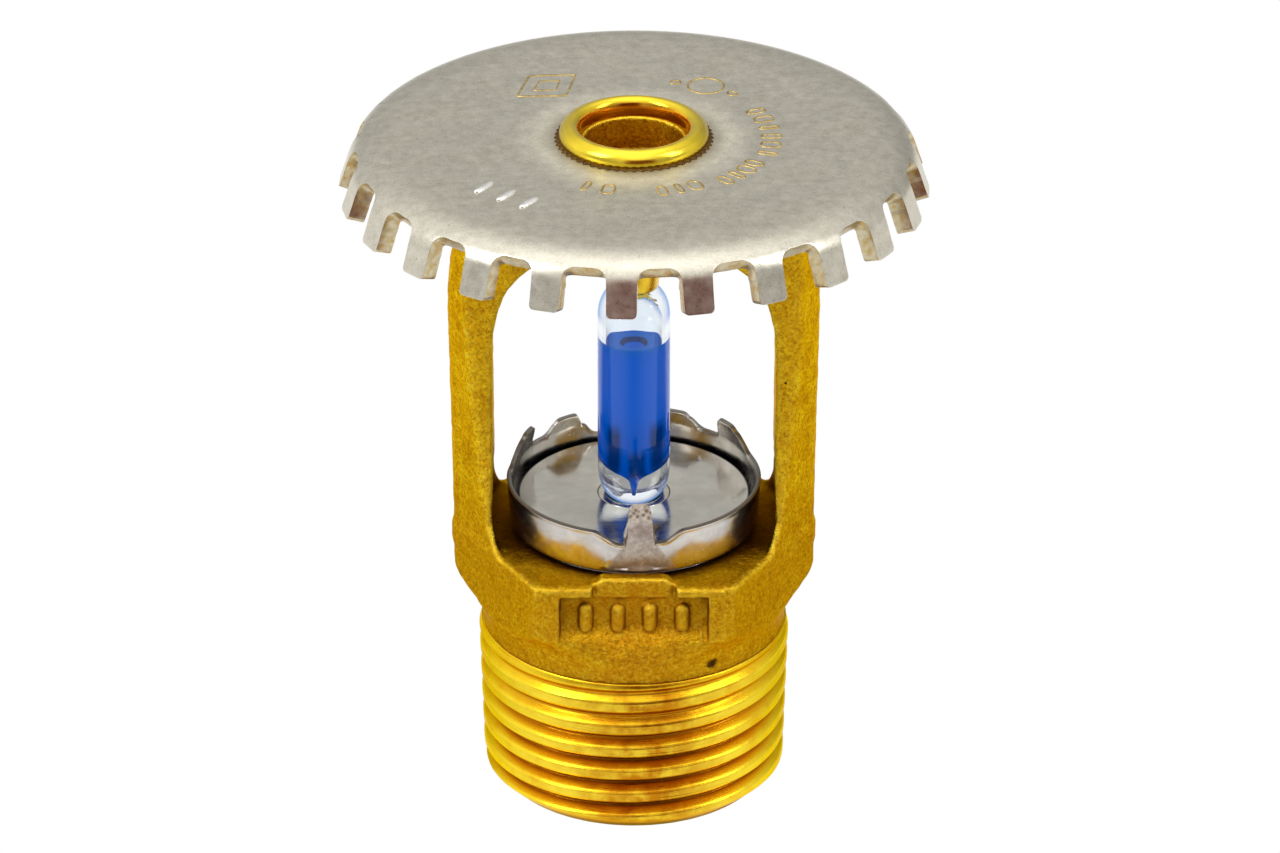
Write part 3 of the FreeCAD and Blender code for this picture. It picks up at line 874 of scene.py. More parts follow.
def bulb_seat():
    profile = rounded(
        [(0, SEAT_FLOOR), (2.48, SEAT_FLOOR), (2.48, 21.64, 0.05), (2.02, 21.66, 0.10),
         (1.36, 21.04, 0.2), (1.0, 20.7, 0.1), (0.7, 20.42, 0.1), (0.45, 20.38, 0.05),
         (0, 20.33)], closed=False, steps=5)
    return lathe("bulb_seat_ring", profile, 96, closed=False)


def disc_spring():
    profile = rounded(
        [(7.78, 19.12, 0.05), (7.8, 19.3, 0.1), (7.7, 19.46, 0.1), (4.1, 19.6, 0.1),
         (3.68, 19.58, 0.08), (3.64, 19.4, 0.08), (3.72, 19.26, 0.1)], steps=4)
    return lathe("disc_spring_washer", profile)


def film_ring(name, inner, outer, bottom, top):
    profile = rounded([(inner, bottom, 0.03), (outer, bottom, 0.03), (outer, top, 0.03),
                       (inner, top, 0.03)], steps=3)
    return lathe(name, profile, 128)


# Lower end of the screw (radius, z), from its centre outward and up
SCREW_END = [(0, 38.3), (1.38, 37.6), (1.5, 37.55), (1.62, 37.6), (1.72, 37.82), (1.76, 38.6),
             (1.78, 39.6), (1.8, 40.3), (2.45, 40.85), (2.9, 41.0), (3.08, 41.2)]
SCREW_HEAD = [(3.06, 45.8), (3.02, 46.0), (2.85, 46.13), (2.6, 46.15), (2.1, 46.15)]
# Hexagon socket: scale, z
SOCKET = ((1.07, 46.13), (1.0, 46.0), (0.985, 44.0), (0.97, 43.4))
AXIS_R = 1e-4                   # ring small enough to merge to a point


def load_screw():
    """Load screw with a socket head and a cup at its lower end for the bulb."""
    per_pitch = 16
    bottom, top = 41.25, 45.7
    angles, z, phase = helix(1.27, per_pitch, 120, bottom, top, margin=0)
    height = np.clip((np.abs(phase - 0.5) * 2 - 0.12) / 0.72, 0, 1)
    z = np.clip(z, bottom, top)
    edge = np.clip(np.minimum(z - bottom, top - z) / 0.4, 0, 1)
    radius = 3.05 * (1 - edge) + (2.45 + 0.62 * height[:, None]) * edge
    rows, columns = z.shape
    points = [around(radius, z, angles).reshape(-1, 3)]
    quads = helix_quads(rows, columns, per_pitch)
    end = [(max(r, AXIS_R), end_z) for r, end_z in SCREW_END[::-1]]
    add_rings(points, quads, 0, end, angles, downward=True)
    hexagon = 1.75 / np.cos((angles % (math.pi / 3)) - math.pi / 6) * math.cos(math.pi / 6)
    head = SCREW_HEAD + [(hexagon * scale, socket_z) for scale, socket_z in SOCKET]
    head.append((AXIS_R, 42.6))
    add_rings(points, quads, (rows - 1) * columns, head, angles)
    ob = new_obj("load_screw_turned", np.concatenate(points), np.concatenate(quads))
    clean(ob, 0.002)
    return ob


# Bulb profiles (radius, z): outer wall and cavity, foot and top
GLASS_FOOT = [(0.0, 20.47), (0.35, 20.5), (0.62, 20.66), (0.8, 20.9), (1.1, 21.12),
              (1.6, 21.45), (2.08, 21.98), (2.36, 22.65), (2.48, 23.4), (2.5, 24.2)]
GLASS_TOP = [(2.5, 34.9), (2.49, 35.6), (2.36, 36.35), (2.05, 36.98), (1.55, 37.45),
             (1.0, 37.72), (0.5, 37.85), (0.0, 37.88)]
CAVITY_R = 1.95
CAVITY_LOWEST = [(0.0, 22.05), (0.08, 22.12)]
CAVITY_FOOT = [(0.12, 22.5), (0.22, 22.95), (0.52, 23.3), (1.0, 23.62), (1.5, 24.0),
               (1.84, 24.55), (CAVITY_R, 25.3)]
CAVITY_TOP = [(CAVITY_R, 34.3), (1.93, 35.0), (1.75, 35.75), (1.38, 36.3), (0.85, 36.62),
              (0.4, 36.72), (0.0, 36.74)]
CAVITY_RINGS = (27, 29, 31, 33)
FLUID_LOWEST = [(0.0, 22.08), (0.08, 22.15)]
FLUID_TOP = 33.4


def bulb_glass():
    """One closed shell: the outer wall faces out, the inner wall faces the cavity."""
    outer = (smooth_curve(GLASS_FOOT, 6) + [(2.5, z) for z in (26, 28, 30, 32, 33.5)]
             + smooth_curve(GLASS_TOP, 6))
    inner = (smooth_curve(CAVITY_LOWEST + CAVITY_FOOT, 6)
             + [(CAVITY_R, z) for z in CAVITY_RINGS] + smooth_curve(CAVITY_TOP, 6))
    shell = bmesh.new()
    for name, profile, side in (("bulb_glass_outer", outer, 1), ("bulb_glass_inner", inner, -1)):
        wall = lathe(name, profile, 128, closed=False)
        part = bmesh.new()
        part.from_mesh(wall.data)
        if part.calc_volume(signed=True) * side < 0:
            bmesh.ops.reverse_faces(part, faces=part.faces)
        part.to_mesh(wall.data)
        part.free()
        shell.from_mesh(wall.data)
        bpy.data.objects.remove(wall)
    return object_from_bmesh(shell, "bulb_glass_shell")


def bulb_fluid():
    lap = 0.012                 # into the wall, so that no air film shows
    top = FLUID_TOP
    wall = [(r + lap if r > 0.1 else r, z)
            for r, z in smooth_curve(FLUID_LOWEST + CAVITY_FOOT, 6)]
    wall += [(CAVITY_R + lap, z) for z in CAVITY_RINGS]
    meniscus = [(CAVITY_R + lap, top + 0.22), (1.88, top + 0.1), (1.7, top),
                (1.45, top - 0.04), (1.2, top - 0.05), (0.98, top - 0.06)]
    bubble = [(0.9, top - 0.12), (0.84, top - 0.3), (0.66, top - 0.46), (0.4, top - 0.55),
              (0.0, top - 0.58)]
    return lathe("bulb_fluid_charge", wall + meniscus + bubble, 128, closed=False)


# =====================================================================
# Shader graphs
# =====================================================================
def math_node(operation, swapped=False):
    """A method of Value that adds one Math node."""
    def method(self, other=0.0):
        first, second = (other, self) if swapped else (self, other)
        return self.graph.math(operation, first, second)
    return method


class Value:
    """An output of a node. Arithmetic and comparisons on it add nodes to its graph."""
    __add__ = math_node("ADD")
    __radd__ = math_node("ADD", swapped=True)
    __sub__ = math_node("SUBTRACT")
    __rsub__ = math_node("SUBTRACT", swapped=True)
    __mul__ = math_node("MULTIPLY")
    __truediv__ = math_node("DIVIDE")
    __pow__ = math_node("POWER")
    __rpow__ = math_node("POWER", swapped=True)
    __lt__ = math_node("LESS_THAN")
    __gt__ = math_node("GREATER_THAN")
    __abs__ = math_node("ABSOLUTE")
    sqrt = math_node("SQRT")
    maximum = math_node("MAXIMUM")
    arctan2 = math_node("ARCTAN2")

    def __init__(self, graph, socket):
        self.graph = graph
        self.socket = socket

    def remap(self, over, to):
        """Runs from to[0] to to[1] while the value runs over the given range."""
        node = self.graph.node("ShaderNodeMapRange")
        self.graph.put(node.inputs["Value"], self)
        node.inputs["From Min"].default_value, node.inputs["From Max"].default_value = over
        node.inputs["To Min"].default_value, node.inputs["To Max"].default_value = to
        return Value(self.graph, node.outputs[0])

    def rise(self, over, peak=1.0):
        return self.remap(over, to=(0.0, peak))

    def fall(self, over, peak=1.0):
        return self.remap(over, to=(peak, 0.0))


class Graph:
    """Builds the node tree of a material or world."""
    def __init__(self, owner):
        owner.use_nodes = True
        self.tree = owner.node_tree
        self.tree.nodes.clear()

    def node(self, kind, **props):
        node = self.tree.nodes.new(kind)
        for name, value in props.items():
            setattr(node, name, value)
        return node

    def put(self, socket, value):
        """Links or sets an input; a tuple of three is an opaque colour."""
        if isinstance(value, Value):
            self.tree.links.new(value.socket, socket)
        elif isinstance(value, tuple):
            socket.default_value = (*value, 1)
        else:
            socket.default_value = value

    def math(self, operation, first, second, clamp=False):
        node = self.node("ShaderNodeMath", operation=operation, use_clamp=clamp)
        self.put(node.inputs[0], first)
        self.put(node.inputs[1], second)
        return Value(self, node.outputs[0])

    def mix(self, factor, base, top):
        node = self.node("ShaderNodeMix", data_type="RGBA", blend_type="MIX")
        self.put(node.inputs["Factor"], factor)
        self.put(node.inputs[6], base)
        self.put(node.inputs[7], top)
        return Value(self, node.outputs[2])

    def separate(self, vector):
        node = self.node("ShaderNodeSeparateXYZ")
        self.put(node.inputs[0], vector)
        return [Value(self, output) for output in node.outputs]

    def studio_light(self, kind, color, strength):
        """Glows as given in reflections; plain white seen directly or through glass."""
        path = self.node("ShaderNodeLightPath")
        direct = Value(self, path.outputs["Is Camera Ray"]).maximum(
            Value(self, path.outputs["Is Transmission Ray"]))
        mix = self.node("ShaderNodeMixShader")
        self.put(mix.inputs[0], direct)
        for slot, glow in ((1, (color, strength)), (2, ((1, 1, 1), 1.0))):
            node = self.node(kind)
            self.put(node.inputs[0], glow[0])
            self.put(node.inputs[1], glow[1])
            self.put(mix.inputs[slot], Value(self, node.outputs[0]))
        return mix.outputs[0]


class Material(Graph):
    """A procedural material in object space, in millimetres."""
    INPUTS = {"color": "Base Color", "metallic": "Metallic", "rough": "Roughness",
              "normal": "Normal", "ior": "IOR", "trans": "Transmission Weight",
              "spec_tint": "Specular Tint", "specular": "Specular IOR Level",
              "emission": "Emission Color", "emit": "Emission Strength"}

    def __init__(self, name):
        self.material = bpy.data.materials.new(name)
        super().__init__(self.material)
        coordinates = self.node("ShaderNodeTexCoord")
        self.place = self.mapped(Value(self, coordinates.outputs["Object"]), (1000, 1000, 1000))

    def mapped(self, vector, scale):
        node = self.node("ShaderNodeMapping")
        node.inputs["Scale"].default_value = scale
        self.put(node.inputs[0], vector)
        return Value(self, node.outputs[0])

    def position(self):
        return self.separate(self.place)

    def radius(self):
        x, y, _ = self.position()
        return (x * x + y * y).sqrt()

    def turned_place(self, x, y, z, radius, around, across):
        """Coordinates for streaks that run round the axis."""
        node = self.node("ShaderNodeCombineXYZ")
        self.put(node.inputs[0], y.arctan2(x) * around)
        self.put(node.inputs[1], z * across)
        self.put(node.inputs[2], radius * across)
        return Value(self, node.outputs[0])

    def noise(self, scale, detail=3, rough=0.6, place=None, stretch=None):
        node = self.node("ShaderNodeTexNoise")
        place = place or self.place
        if stretch:
            place = self.mapped(place, stretch)
        self.put(node.inputs["Vector"], place)
        node.inputs["Scale"].default_value = scale
        node.inputs["Detail"].default_value = detail
        node.inputs["Roughness"].default_value = rough
        return Value(self, node.outputs[0])

    def cells(self, scale, feature="F1"):
        """Distance to the nearest of scattered points."""
        node = self.node("ShaderNodeTexVoronoi", feature=feature)
        self.put(node.inputs["Vector"], self.place)
        node.inputs["Scale"].default_value = scale
        return Value(self, node.outputs["Distance"])

    def ramp(self, factor, stops):
        node = self.node("ShaderNodeValToRGB")
        elements = node.color_ramp.elements
        while len(elements) < len(stops):
            elements.new(0.5)
        for i, (position, color) in enumerate(stops):
            elements[i].position = position
            elements[i].color = (*color, 1)
        self.put(node.inputs[0], factor)
        return Value(self, node.outputs[0])

    def openness(self, distance, samples=8):
        """Ambient occlusion: 1 in the open, 0 in deep corners."""
        node = self.node("ShaderNodeAmbientOcclusion", samples=samples)
        node.inputs["Distance"].default_value = distance * MM
        return Value(self, node.outputs["AO"])

    def geometry(self, output):
        return Value(self, self.node("ShaderNodeNewGeometry").outputs[output])

    def bump(self, height, strength, distance):
        node = self.node("ShaderNodeBump")
        node.inputs["Strength"].default_value = strength
        node.inputs["Distance"].default_value = distance * MM
        self.put(node.inputs["Height"], height)
        return Value(self, node.outputs[0])

    def output(self, shader):
        node = self.node("ShaderNodeOutputMaterial")
        self.tree.links.new(shader, node.inputs[0])
        return self.material

    def finish(self, **inputs):
        surface = self.node("ShaderNodeBsdfPrincipled")
        for name, value in inputs.items():
            self.put(surface.inputs[self.INPUTS[name]], value)
        return self.output(surface.outputs[0])


# =====================================================================
# Materials
# =====================================================================
def cast_brass():
    mat = Material("cast_brass_sandy")
    x, y, z = mat.position()
    broad = mat.noise(scale=0.16, detail=4)
    medium = mat.noise(scale=0.9, detail=6, rough=0.65)
    fine = mat.noise(scale=4.8, detail=5, rough=0.72)
    grit = mat.noise(scale=3.3, detail=6, rough=0.75)
    color = mat.ramp(medium, [(0.30, (0.50, 0.22, 0.004)), (0.48, (0.77, 0.43, 0.008)),
                              (0.68, (0.96, 0.68, 0.018))])
    color = mat.mix(broad.rise(over=(0.40, 0.72), peak=0.6), color, (0.95, 0.61, 0.014))
    # darker and warmer low down, painted shade on the lower faces; a darker, warmer tone down the
    # middle of the front panel
    color = mat.mix(z.fall(over=(19.4, 24.0), peak=0.62), color, (0.60, 0.285, 0.006))
    middle = abs(x - 0.3).fall(over=(1.0, 3.6), peak=0.55) * (y < -8.6) * (z < 20.3)
    patchy = mat.noise(scale=1.4, detail=4).remap(over=(0.35, 0.65), to=(0.4, 1.0))
    color = mat.mix(middle * patchy, color, (0.60, 0.225, 0.004))
    # sandy mottling: dark grains and bright ones
    color = mat.mix(fine.fall(over=(0.34, 0.57)) * 0.80, color, (0.28, 0.10, 0.003))
    color = mat.mix(grit.rise(over=(0.50, 0.70), peak=0.5), color, (1.0, 0.80, 0.05))
    # painted shade: wide shade, shade in the corners, fine dark shade lines at steps
    uneven = mat.noise(scale=0.8, detail=4).remap(over=(0.3, 0.7), to=(0.10, -0.10))
    shade = (mat.openness(6.5) + uneven).fall(over=(0.36, 0.80), peak=0.95)
    shade = shade * abs(x).remap(over=(4.0, 8.0), to=(0.40, 1.0))
    color = mat.mix(shade, color, (0.070, 0.022, 0.001))
    corner_shade = mat.openness(1.8).fall(over=(0.25, 0.88), peak=0.92)
    color = mat.mix(corner_shade, color, (0.19, 0.055, 0.002))
    steps = mat.openness(0.55).fall(over=(0.40, 0.82), peak=0.92)
    color = mat.mix(steps, color, (0.10, 0.028, 0.001))
    # painted highlight: a bright yellow band along the edges
    edge = (mat.geometry("Pointiness").rise(over=(0.507, 0.545))
            * z.remap(over=(17.0, 20.0), to=(0.35, 1.0)))
    color = mat.mix(edge * 0.48, color, (1.0, 0.82, 0.07))
    # a few dark sand pits, and one dark spot low on the front right
    pit = mat.cells(scale=0.62).fall(over=(0.035, 0.085))
    pit = pit * (mat.noise(scale=0.31, detail=1, rough=0.5) > 0.56)
    spot = mat.node("ShaderNodeVectorMath", operation="DISTANCE")
    mat.put(spot.inputs[0], mat.place)
    spot.inputs[1].default_value = (5.5, -9.3, 13.0)
    ragged = fine.remap(over=(0.3, 0.7), to=(-0.12, 0.12))
    spot = (Value(mat, spot.outputs["Value"]) + ragged).fall(over=(0.30, 0.55))
    pit = pit.maximum(spot)
    color = mat.mix(pit, color, (0.05, 0.022, 0.008))
    rough = fine.remap(over=(0.3, 0.7), to=(0.30, 0.44)) + edge * -0.10
    lumps = mat.cells(scale=3.0, feature="SMOOTH_F1")
    height = fine * 0.9 + lumps * 0.5 + grit * 0.7 - pit * 2.0
    return mat.finish(color=color, metallic=1.0, rough=rough, spec_tint=(0.90, 0.66, 0.22),
                      normal=mat.bump(height, strength=0.70, distance=0.12))


def thread_brass():
    mat = Material("turned_brass_thread")
    radius = mat.radius()
    x, y, z = mat.position()
    # height above the taper line: 0 at the root, 1 at the crest
    root_line = z * TAPER + (THREAD_R - THREAD_DEPTH)
    height = (radius - root_line).rise(over=(0.27, THREAD_DEPTH))
    # the ramp paints shade into the roots and a highlight on the crests
    color = mat.ramp(height, [(0.0, (0.26, 0.075, 0.003)), (0.22, (0.46, 0.17, 0.006)),
                              (0.5, (0.86, 0.52, 0.016)), (0.9, (0.97, 0.70, 0.026)),
                              (1.0, (1.0, 0.78, 0.05))])
    blotch = mat.noise(scale=0.42, detail=4).rise(over=(0.48, 0.75), peak=0.6)
    color = mat.mix(blotch, color, (0.80, 0.36, 0.010))
    # painted shade: a darker orange patch on the front middle
    front_shade = abs(x - 0.6).fall(over=(1.5, 6.8)) * (y < 0.0)
    worn = mat.noise(scale=0.7, detail=4).remap(over=(0.38, 0.60), to=(0.30, 0.95))
    color = mat.mix(front_shade * worn, color, (0.52, 0.18, 0.004))
    # streaks along the turns, and a few dark scratches in the shaded front patch
    place = mat.turned_place(x, y, z, radius, around=1.6, across=14.0)
    streak = mat.noise(scale=1.6, detail=4, place=place)
    color = mat.mix(streak.rise(over=(0.5, 0.75), peak=0.5), color, (0.62, 0.27, 0.008))
    scratch = mat.noise(scale=1.2, detail=2, rough=0.5, place=place) > 0.68
    color = mat.mix(scratch * front_shade, color, (0.06, 0.02, 0.002))
    # painted shade in the roots, deeper in the shaded front patch, and a darker bore
    deep = height.fall(over=(0.05, 0.30)) * front_shade.remap(over=(0.0, 1.0), to=(0.25, 0.95))
    color = mat.mix(deep, color, (0.085, 0.022, 0.001))
    color = mat.mix((radius < 7.6) * 0.5, color, (0.5, 0.26, 0.02))
    rough = streak.remap(over=(0.35, 0.7), to=(0.22, 0.38))
    relief = streak + mat.noise(scale=3.0) * 0.6
    return mat.finish(color=color, metallic=1.0, rough=rough, spec_tint=(0.95, 0.75, 0.25),
                      normal=mat.bump(relief, strength=0.30, distance=0.03))


def turned_metal(name, dark, light, rough, relief, hollow_radius=None, hollow_top=None,
                 hollow_shade_color=None, hollow_bottom=None):
    """Metal with turning streaks; painted shade darkens the inside of the hollow, if one is
    given.
    """
    mat = Material(name)
    x, y, z = mat.position()
    radius = mat.radius()
    place = mat.turned_place(x, y, z, radius, around=0.8, across=16.0)
    streak = mat.noise(scale=1.5, detail=4, place=place)
    blotch = mat.noise(scale=0.7, rough=0.55)
    color = mat.mix(streak.rise(over=(0.35, 0.7)), dark, light)
    color = mat.mix(blotch.rise(over=(0.45, 0.75), peak=0.4), color,
                    tuple(0.7 * v for v in dark))
    # painted shade inside the hollow
    if hollow_radius:
        inside = (radius.fall(over=(hollow_radius - 0.12, hollow_radius))
                  * z.fall(over=(hollow_top - 0.3, hollow_top)))
        if hollow_bottom:
            inside = inside * (z > hollow_bottom)
        dull = mat.mix(streak.rise(over=(0.42, 0.62)), hollow_shade_color,
                       tuple(min(1, 1.9 * v) for v in hollow_shade_color))
        color = mat.mix(inside * 0.85, color, dull)
    return mat.finish(color=color, metallic=1.0,
                      rough=streak.remap(over=(0.3, 0.7), to=(rough * 0.8, rough * 1.35)),
                      normal=mat.bump(streak, strength=relief, distance=0.02))


def plated_sheet():
    mat = Material("satin_plated_sheet")
    x, y, z = mat.position()
    radius = mat.radius()
    broad = mat.noise(scale=0.32, detail=5)
    mottle = mat.noise(scale=1.3, detail=5, rough=0.62)
    fine = mat.noise(scale=7.0)
    color = mat.ramp(mottle, [(0.3, (0.61, 0.58, 0.475)), (0.5, (0.685, 0.655, 0.545)),
                              (0.7, (0.76, 0.73, 0.62))])
    color = mat.mix(broad.rise(over=(0.42, 0.68), peak=0.35), color, (0.64, 0.615, 0.54))
    color = mat.mix(fine.rise(over=(0.48, 0.72), peak=0.42), color, (0.36, 0.335, 0.28))
    bright = mat.noise(scale=4.6, detail=4, rough=0.75).rise(over=(0.54, 0.70), peak=0.35)
    color = mat.mix(bright, color, (0.80, 0.775, 0.70))
    # very faint rolled strip lines across the sheet
    lines = mat.noise(scale=1.0, rough=0.5, stretch=(0.25, 6.0, 1.0))
    color = mat.mix(lines.rise(over=(0.5, 0.7), peak=0.16), color, (0.42, 0.40, 0.37))
    # small dark pits
    pit = mat.cells(scale=1.15).fall(over=(0.045, 0.09))
    pit = pit * (mat.noise(scale=0.8, detail=2, rough=0.5) > 0.55)
    color = mat.mix(pit * 0.75, color, (0.20, 0.185, 0.16))
    # cut edges show the yellow base metal: tooth flanks, and slot roots facing outward
    normal_x, normal_y, normal_z = mat.separate(mat.geometry("True Normal"))
    outward = (normal_x * x + normal_y * y) / radius.maximum(0.01)
    sideways = (1.0 - (outward * outward + normal_z * normal_z)).maximum(0.0).sqrt()
    flank = sideways.rise(over=(0.55, 0.8))
    root = outward.rise(over=(0.3, 0.6)) * ((normal_z < -0.15) * (z > 46.4))
    cut = flank.maximum(root) * (radius > 12.0)
    cut = cut * mat.noise(scale=1.6).remap(over=(0.3, 0.6), to=(0.45, 1.0))
    base_metal = mat.mix(mat.noise(scale=2.2).rise(over=(0.4, 0.62)),
                         (0.62, 0.55, 0.36), (0.50, 0.35, 0.13))
    color = mat.mix(cut, color, base_metal)
    # painted shadow round the neck
    color = mat.mix(radius.fall(over=(5.2, 6.6)) * 0.62, color, (0.20, 0.165, 0.11))
    rough = (mottle.remap(over=(0.3, 0.7), to=(0.25, 0.34))
             + (pit * 0.2 + radius.fall(over=(6.0, 8.5), peak=0.28)))
    height = fine * 0.5 + (mottle * 0.8 - pit * 1.2)
    return mat.finish(color=color, metallic=1.0, rough=rough,
                      normal=mat.bump(height, strength=0.22, distance=0.03))


def mottled(name, scale, dark, light, rough, detail=3, metallic=1.0, relief=0.2, grain=None):
    """Plain two-tone mottling; grain is the noise of the relief, if it has its own."""
    mat = Material(name)
    tone = mat.noise(scale=scale, detail=detail)
    relief_noise = mat.noise(**grain) if grain else tone
    return mat.finish(color=mat.ramp(tone, [(0.35, dark), (0.65, light)]), metallic=metallic,
                      rough=tone.remap(over=(0.3, 0.7), to=rough),
                      normal=mat.bump(relief_noise, strength=relief, distance=0.02))


def stainless_sheet():
    mat = Material("stainless_sheet_bright")
    polish = 0.2
    x, y, z = mat.position()
    place = mat.turned_place(x, y, z, mat.radius(), around=9.0, across=1.2)
    streak = mat.noise(scale=1.1, detail=4, place=place)
    broad = mat.noise(scale=1.1, detail=5)
    fine = mat.noise(scale=9.0, detail=2)
    color = mat.mix(broad.rise(over=(0.3, 0.7)), (0.60, 0.575, 0.545), (0.72, 0.70, 0.675))
    # painted shade in the tight corners
    corner = mat.openness(0.6, samples=6).fall(over=(0.15, 0.6))
    color = mat.mix(corner * 0.7, color, (0.10, 0.075, 0.05))
    speck = mat.cells(scale=2.2).fall(over=(0.05, 0.1), peak=0.6)
    color = mat.mix(speck, color, (0.32, 0.29, 0.25))
    # the sheared top edge of the sheet is dull and dark
    normal_z = mat.separate(mat.geometry("True Normal"))[2]
    sheared = (normal_z.rise(over=(0.30, 0.62), peak=0.85)
               * ((z > 21.0) * (mat.radius() > 7.7)))
    color = mat.mix(sheared, color, (0.17, 0.155, 0.14))
    # worn, mottled front tab and the facet under it
    half_width = 0.95 + z.fall(over=(19.8, 22.2), peak=1.55)
    facet = (abs(x - 0.45) - half_width).fall(over=(-0.10, 0.15)) * (y < -6.5)
    wear = mat.noise(scale=2.6, detail=5, rough=0.7)
    worn = mat.mix(wear.rise(over=(0.35, 0.65)), (0.42, 0.36, 0.31), (0.74, 0.69, 0.62))
    stain = z.rise(over=(23.2, 24.0), peak=0.9) * mat.cells(scale=2.6).fall(over=(0.2, 0.5))
    worn = mat.mix(stain, worn, (0.20, 0.13, 0.07))
    color = mat.mix(facet * 0.85, color, worn)
    rough = (streak.remap(over=(0.3, 0.7), to=(polish * 0.75, polish * 1.4))
             + (facet * 0.30 + sheared * 0.2))
    return mat.finish(color=color, metallic=1.0, rough=rough,
                      normal=mat.bump(streak * 0.7 + fine * 0.3, strength=0.22, distance=0.03))


PLATED_TONES = ((0.62, 0.60, 0.53), (0.74, 0.72, 0.65))


def polished_cap():
    mat = Material("polished_cap_face")
    broad = mat.noise(scale=0.55, detail=4)
    fine = mat.noise(scale=6.0)
    lines = mat.noise(scale=1.4, rough=0.5, stretch=(0.3, 5.0, 1.0))
    color = mat.mix(broad.rise(over=(0.35, 0.7)), *PLATED_TONES)
    speck = mat.cells(scale=1.5).fall(over=(0.04, 0.08), peak=0.5)
    color = mat.mix(speck, color, (0.34, 0.31, 0.28))
    # painted shadow: near black at the outer edge, in the gap to the cup wall
    color = mat.mix(mat.radius().rise(over=(7.86, 7.95)), color, (0.012, 0.010, 0.008))
    rough = (lines.remap(over=(0.35, 0.65), to=(0.10, 0.17))
             + fine.rise(over=(0.4, 0.7), peak=0.05))
    return mat.finish(color=color, metallic=1.0, rough=rough,
                      normal=mat.bump(fine * 0.4 + broad, strength=0.10, distance=0.03))


def seat_plating():
    mat = Material("seat_ring_plated")
    broad = mat.noise(scale=1.2, detail=4)
    fine = mat.noise(scale=6.0)
    color = mat.mix(broad.rise(over=(0.35, 0.7)), *PLATED_TONES)
    # painted shade in the hollow under the bulb, tinted blue as a painted reflection of the fluid
    hollow = mat.radius().fall(over=(1.92, 2.04))
    color = mat.mix(hollow, color, mat.mix(broad, (0.03, 0.05, 0.10), (0.06, 0.05, 0.04)))
    rough = fine.remap(over=(0.35, 0.65), to=(0.12, 0.20)) + hollow * 0.3
    return mat.finish(color=color, metallic=1.0, rough=rough,
                      normal=mat.bump(fine, strength=0.08, distance=0.02))


def clear_glass():
    mat = Material("bulb_glass_clear")
    broad = mat.noise(scale=0.6, rough=0.5)
    fine = mat.noise(scale=14.0, detail=1, rough=0.5)
    weight = mat.node("ShaderNodeLayerWeight")
    weight.inputs[0].default_value = 0.5
    z = mat.position()[2]
    # painted reflection: blue of the fluid caught in the rounded shoulders, top and bottom
    shoulders = (z.rise(over=(34.9, 35.6)) * z.fall(over=(37.2, 37.7))
                 + z.rise(over=(21.0, 21.6)) * z.fall(over=(23.2, 24.2)))
    fluid_reflection_tint = Value(mat, weight.outputs["Facing"]).rise(over=(0.38, 0.72)) * shoulders
    return mat.finish(color=mat.mix(fluid_reflection_tint, (0.915, 0.962, 1.0), (0.02, 0.15, 0.60)),
                      trans=1.0, ior=1.47,
                      rough=broad.remap(over=(0.35, 0.7), to=(0.0, 0.012)),
                      normal=mat.bump(broad + fine * 0.02, strength=0.03, distance=0.05),
                      specular=z.remap(over=(33.0, 34.4), to=(0.10, 0.45)))


def blue_fluid():
    """Dyed liquid, deep and even, darker towards the foot; it glows with its own colour as
    painted light.
    """
    mat = Material("bulb_fluid_blue")
    noise = mat.noise(scale=0.5, rough=0.5)
    x, _, z = mat.position()
    radius = mat.radius()
    color = mat.mix(z.rise(over=(24.0, 29.0)), (0.0, 0.052, 0.33), (0.0, 0.080, 0.46))

    def bar(left, right, top):
        """Upright bar between two x, fading out over the top range of z."""
        half = (right - left) / 2
        across = abs(x - (left + right) / 2).fall(over=(half - 0.14, half + 0.14))
        return across * z.fall(over=top)

    # dark bars seen through the liquid, low down
    bars = bar(-1.62, -0.85, top=(27.0, 27.9)).maximum(bar(1.02, 1.80, top=(27.2, 28.1)))
    bars = bars.maximum(bar(-0.32, 0.72, top=(25.3, 26.1)))
    bars = bars * z.rise(over=(22.9, 23.7))
    color = mat.mix(bars * 0.88, color, (0.0, 0.012, 0.075))
    color = mat.mix(noise.rise(over=(0.4, 0.7), peak=0.12), color, (0.0, 0.11, 0.55))
    # the surface, and the gas bubble under it
    normal_z = mat.separate(mat.geometry("Normal"))[2]
    surface = normal_z.rise(over=(0.4, 0.9)) * (z > 33.0)
    color = mat.mix(surface, color, (0.0, 0.095, 0.43))
    color = mat.mix((radius < 0.97) * (z > 33.0), color, (0.0, 0.022, 0.12))
    # emission makes the liquid glow: painted light
    return mat.finish(color=mat.mix(0.75, color, (0.0, 0.0, 0.0)), ior=1.36,
                      rough=noise.remap(over=(0.3, 0.7), to=(0.5, 0.6)),
                      emission=color, emit=0.95, specular=0.0)


# =====================================================================
# Build and place
# =====================================================================
def give(ob, material, body, node):
    ob.data.materials.clear()
    ob.data.materials.append(material)
    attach(ob, body)
    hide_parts(node)


# the hollow colours are painted shade inside the rim's cavity and on the screw down in its hole
rim_gold = turned_metal("polished_gold_rim", dark=(0.90, 0.64, 0.026),
                        light=(0.97, 0.78, 0.075), rough=0.17, relief=0.15,
                        hollow_radius=4.12, hollow_top=49.80, hollow_shade_color=(0.46, 0.18, 0.012))
screw_bronze = turned_metal("screw_turned_bronze", dark=(0.80, 0.50, 0.03),
                            light=(0.98, 0.72, 0.06), rough=0.26, relief=0.3,
                            hollow_radius=3.3, hollow_top=60.0,
                            hollow_shade_color=(0.45, 0.17, 0.02), hollow_bottom=43.0)

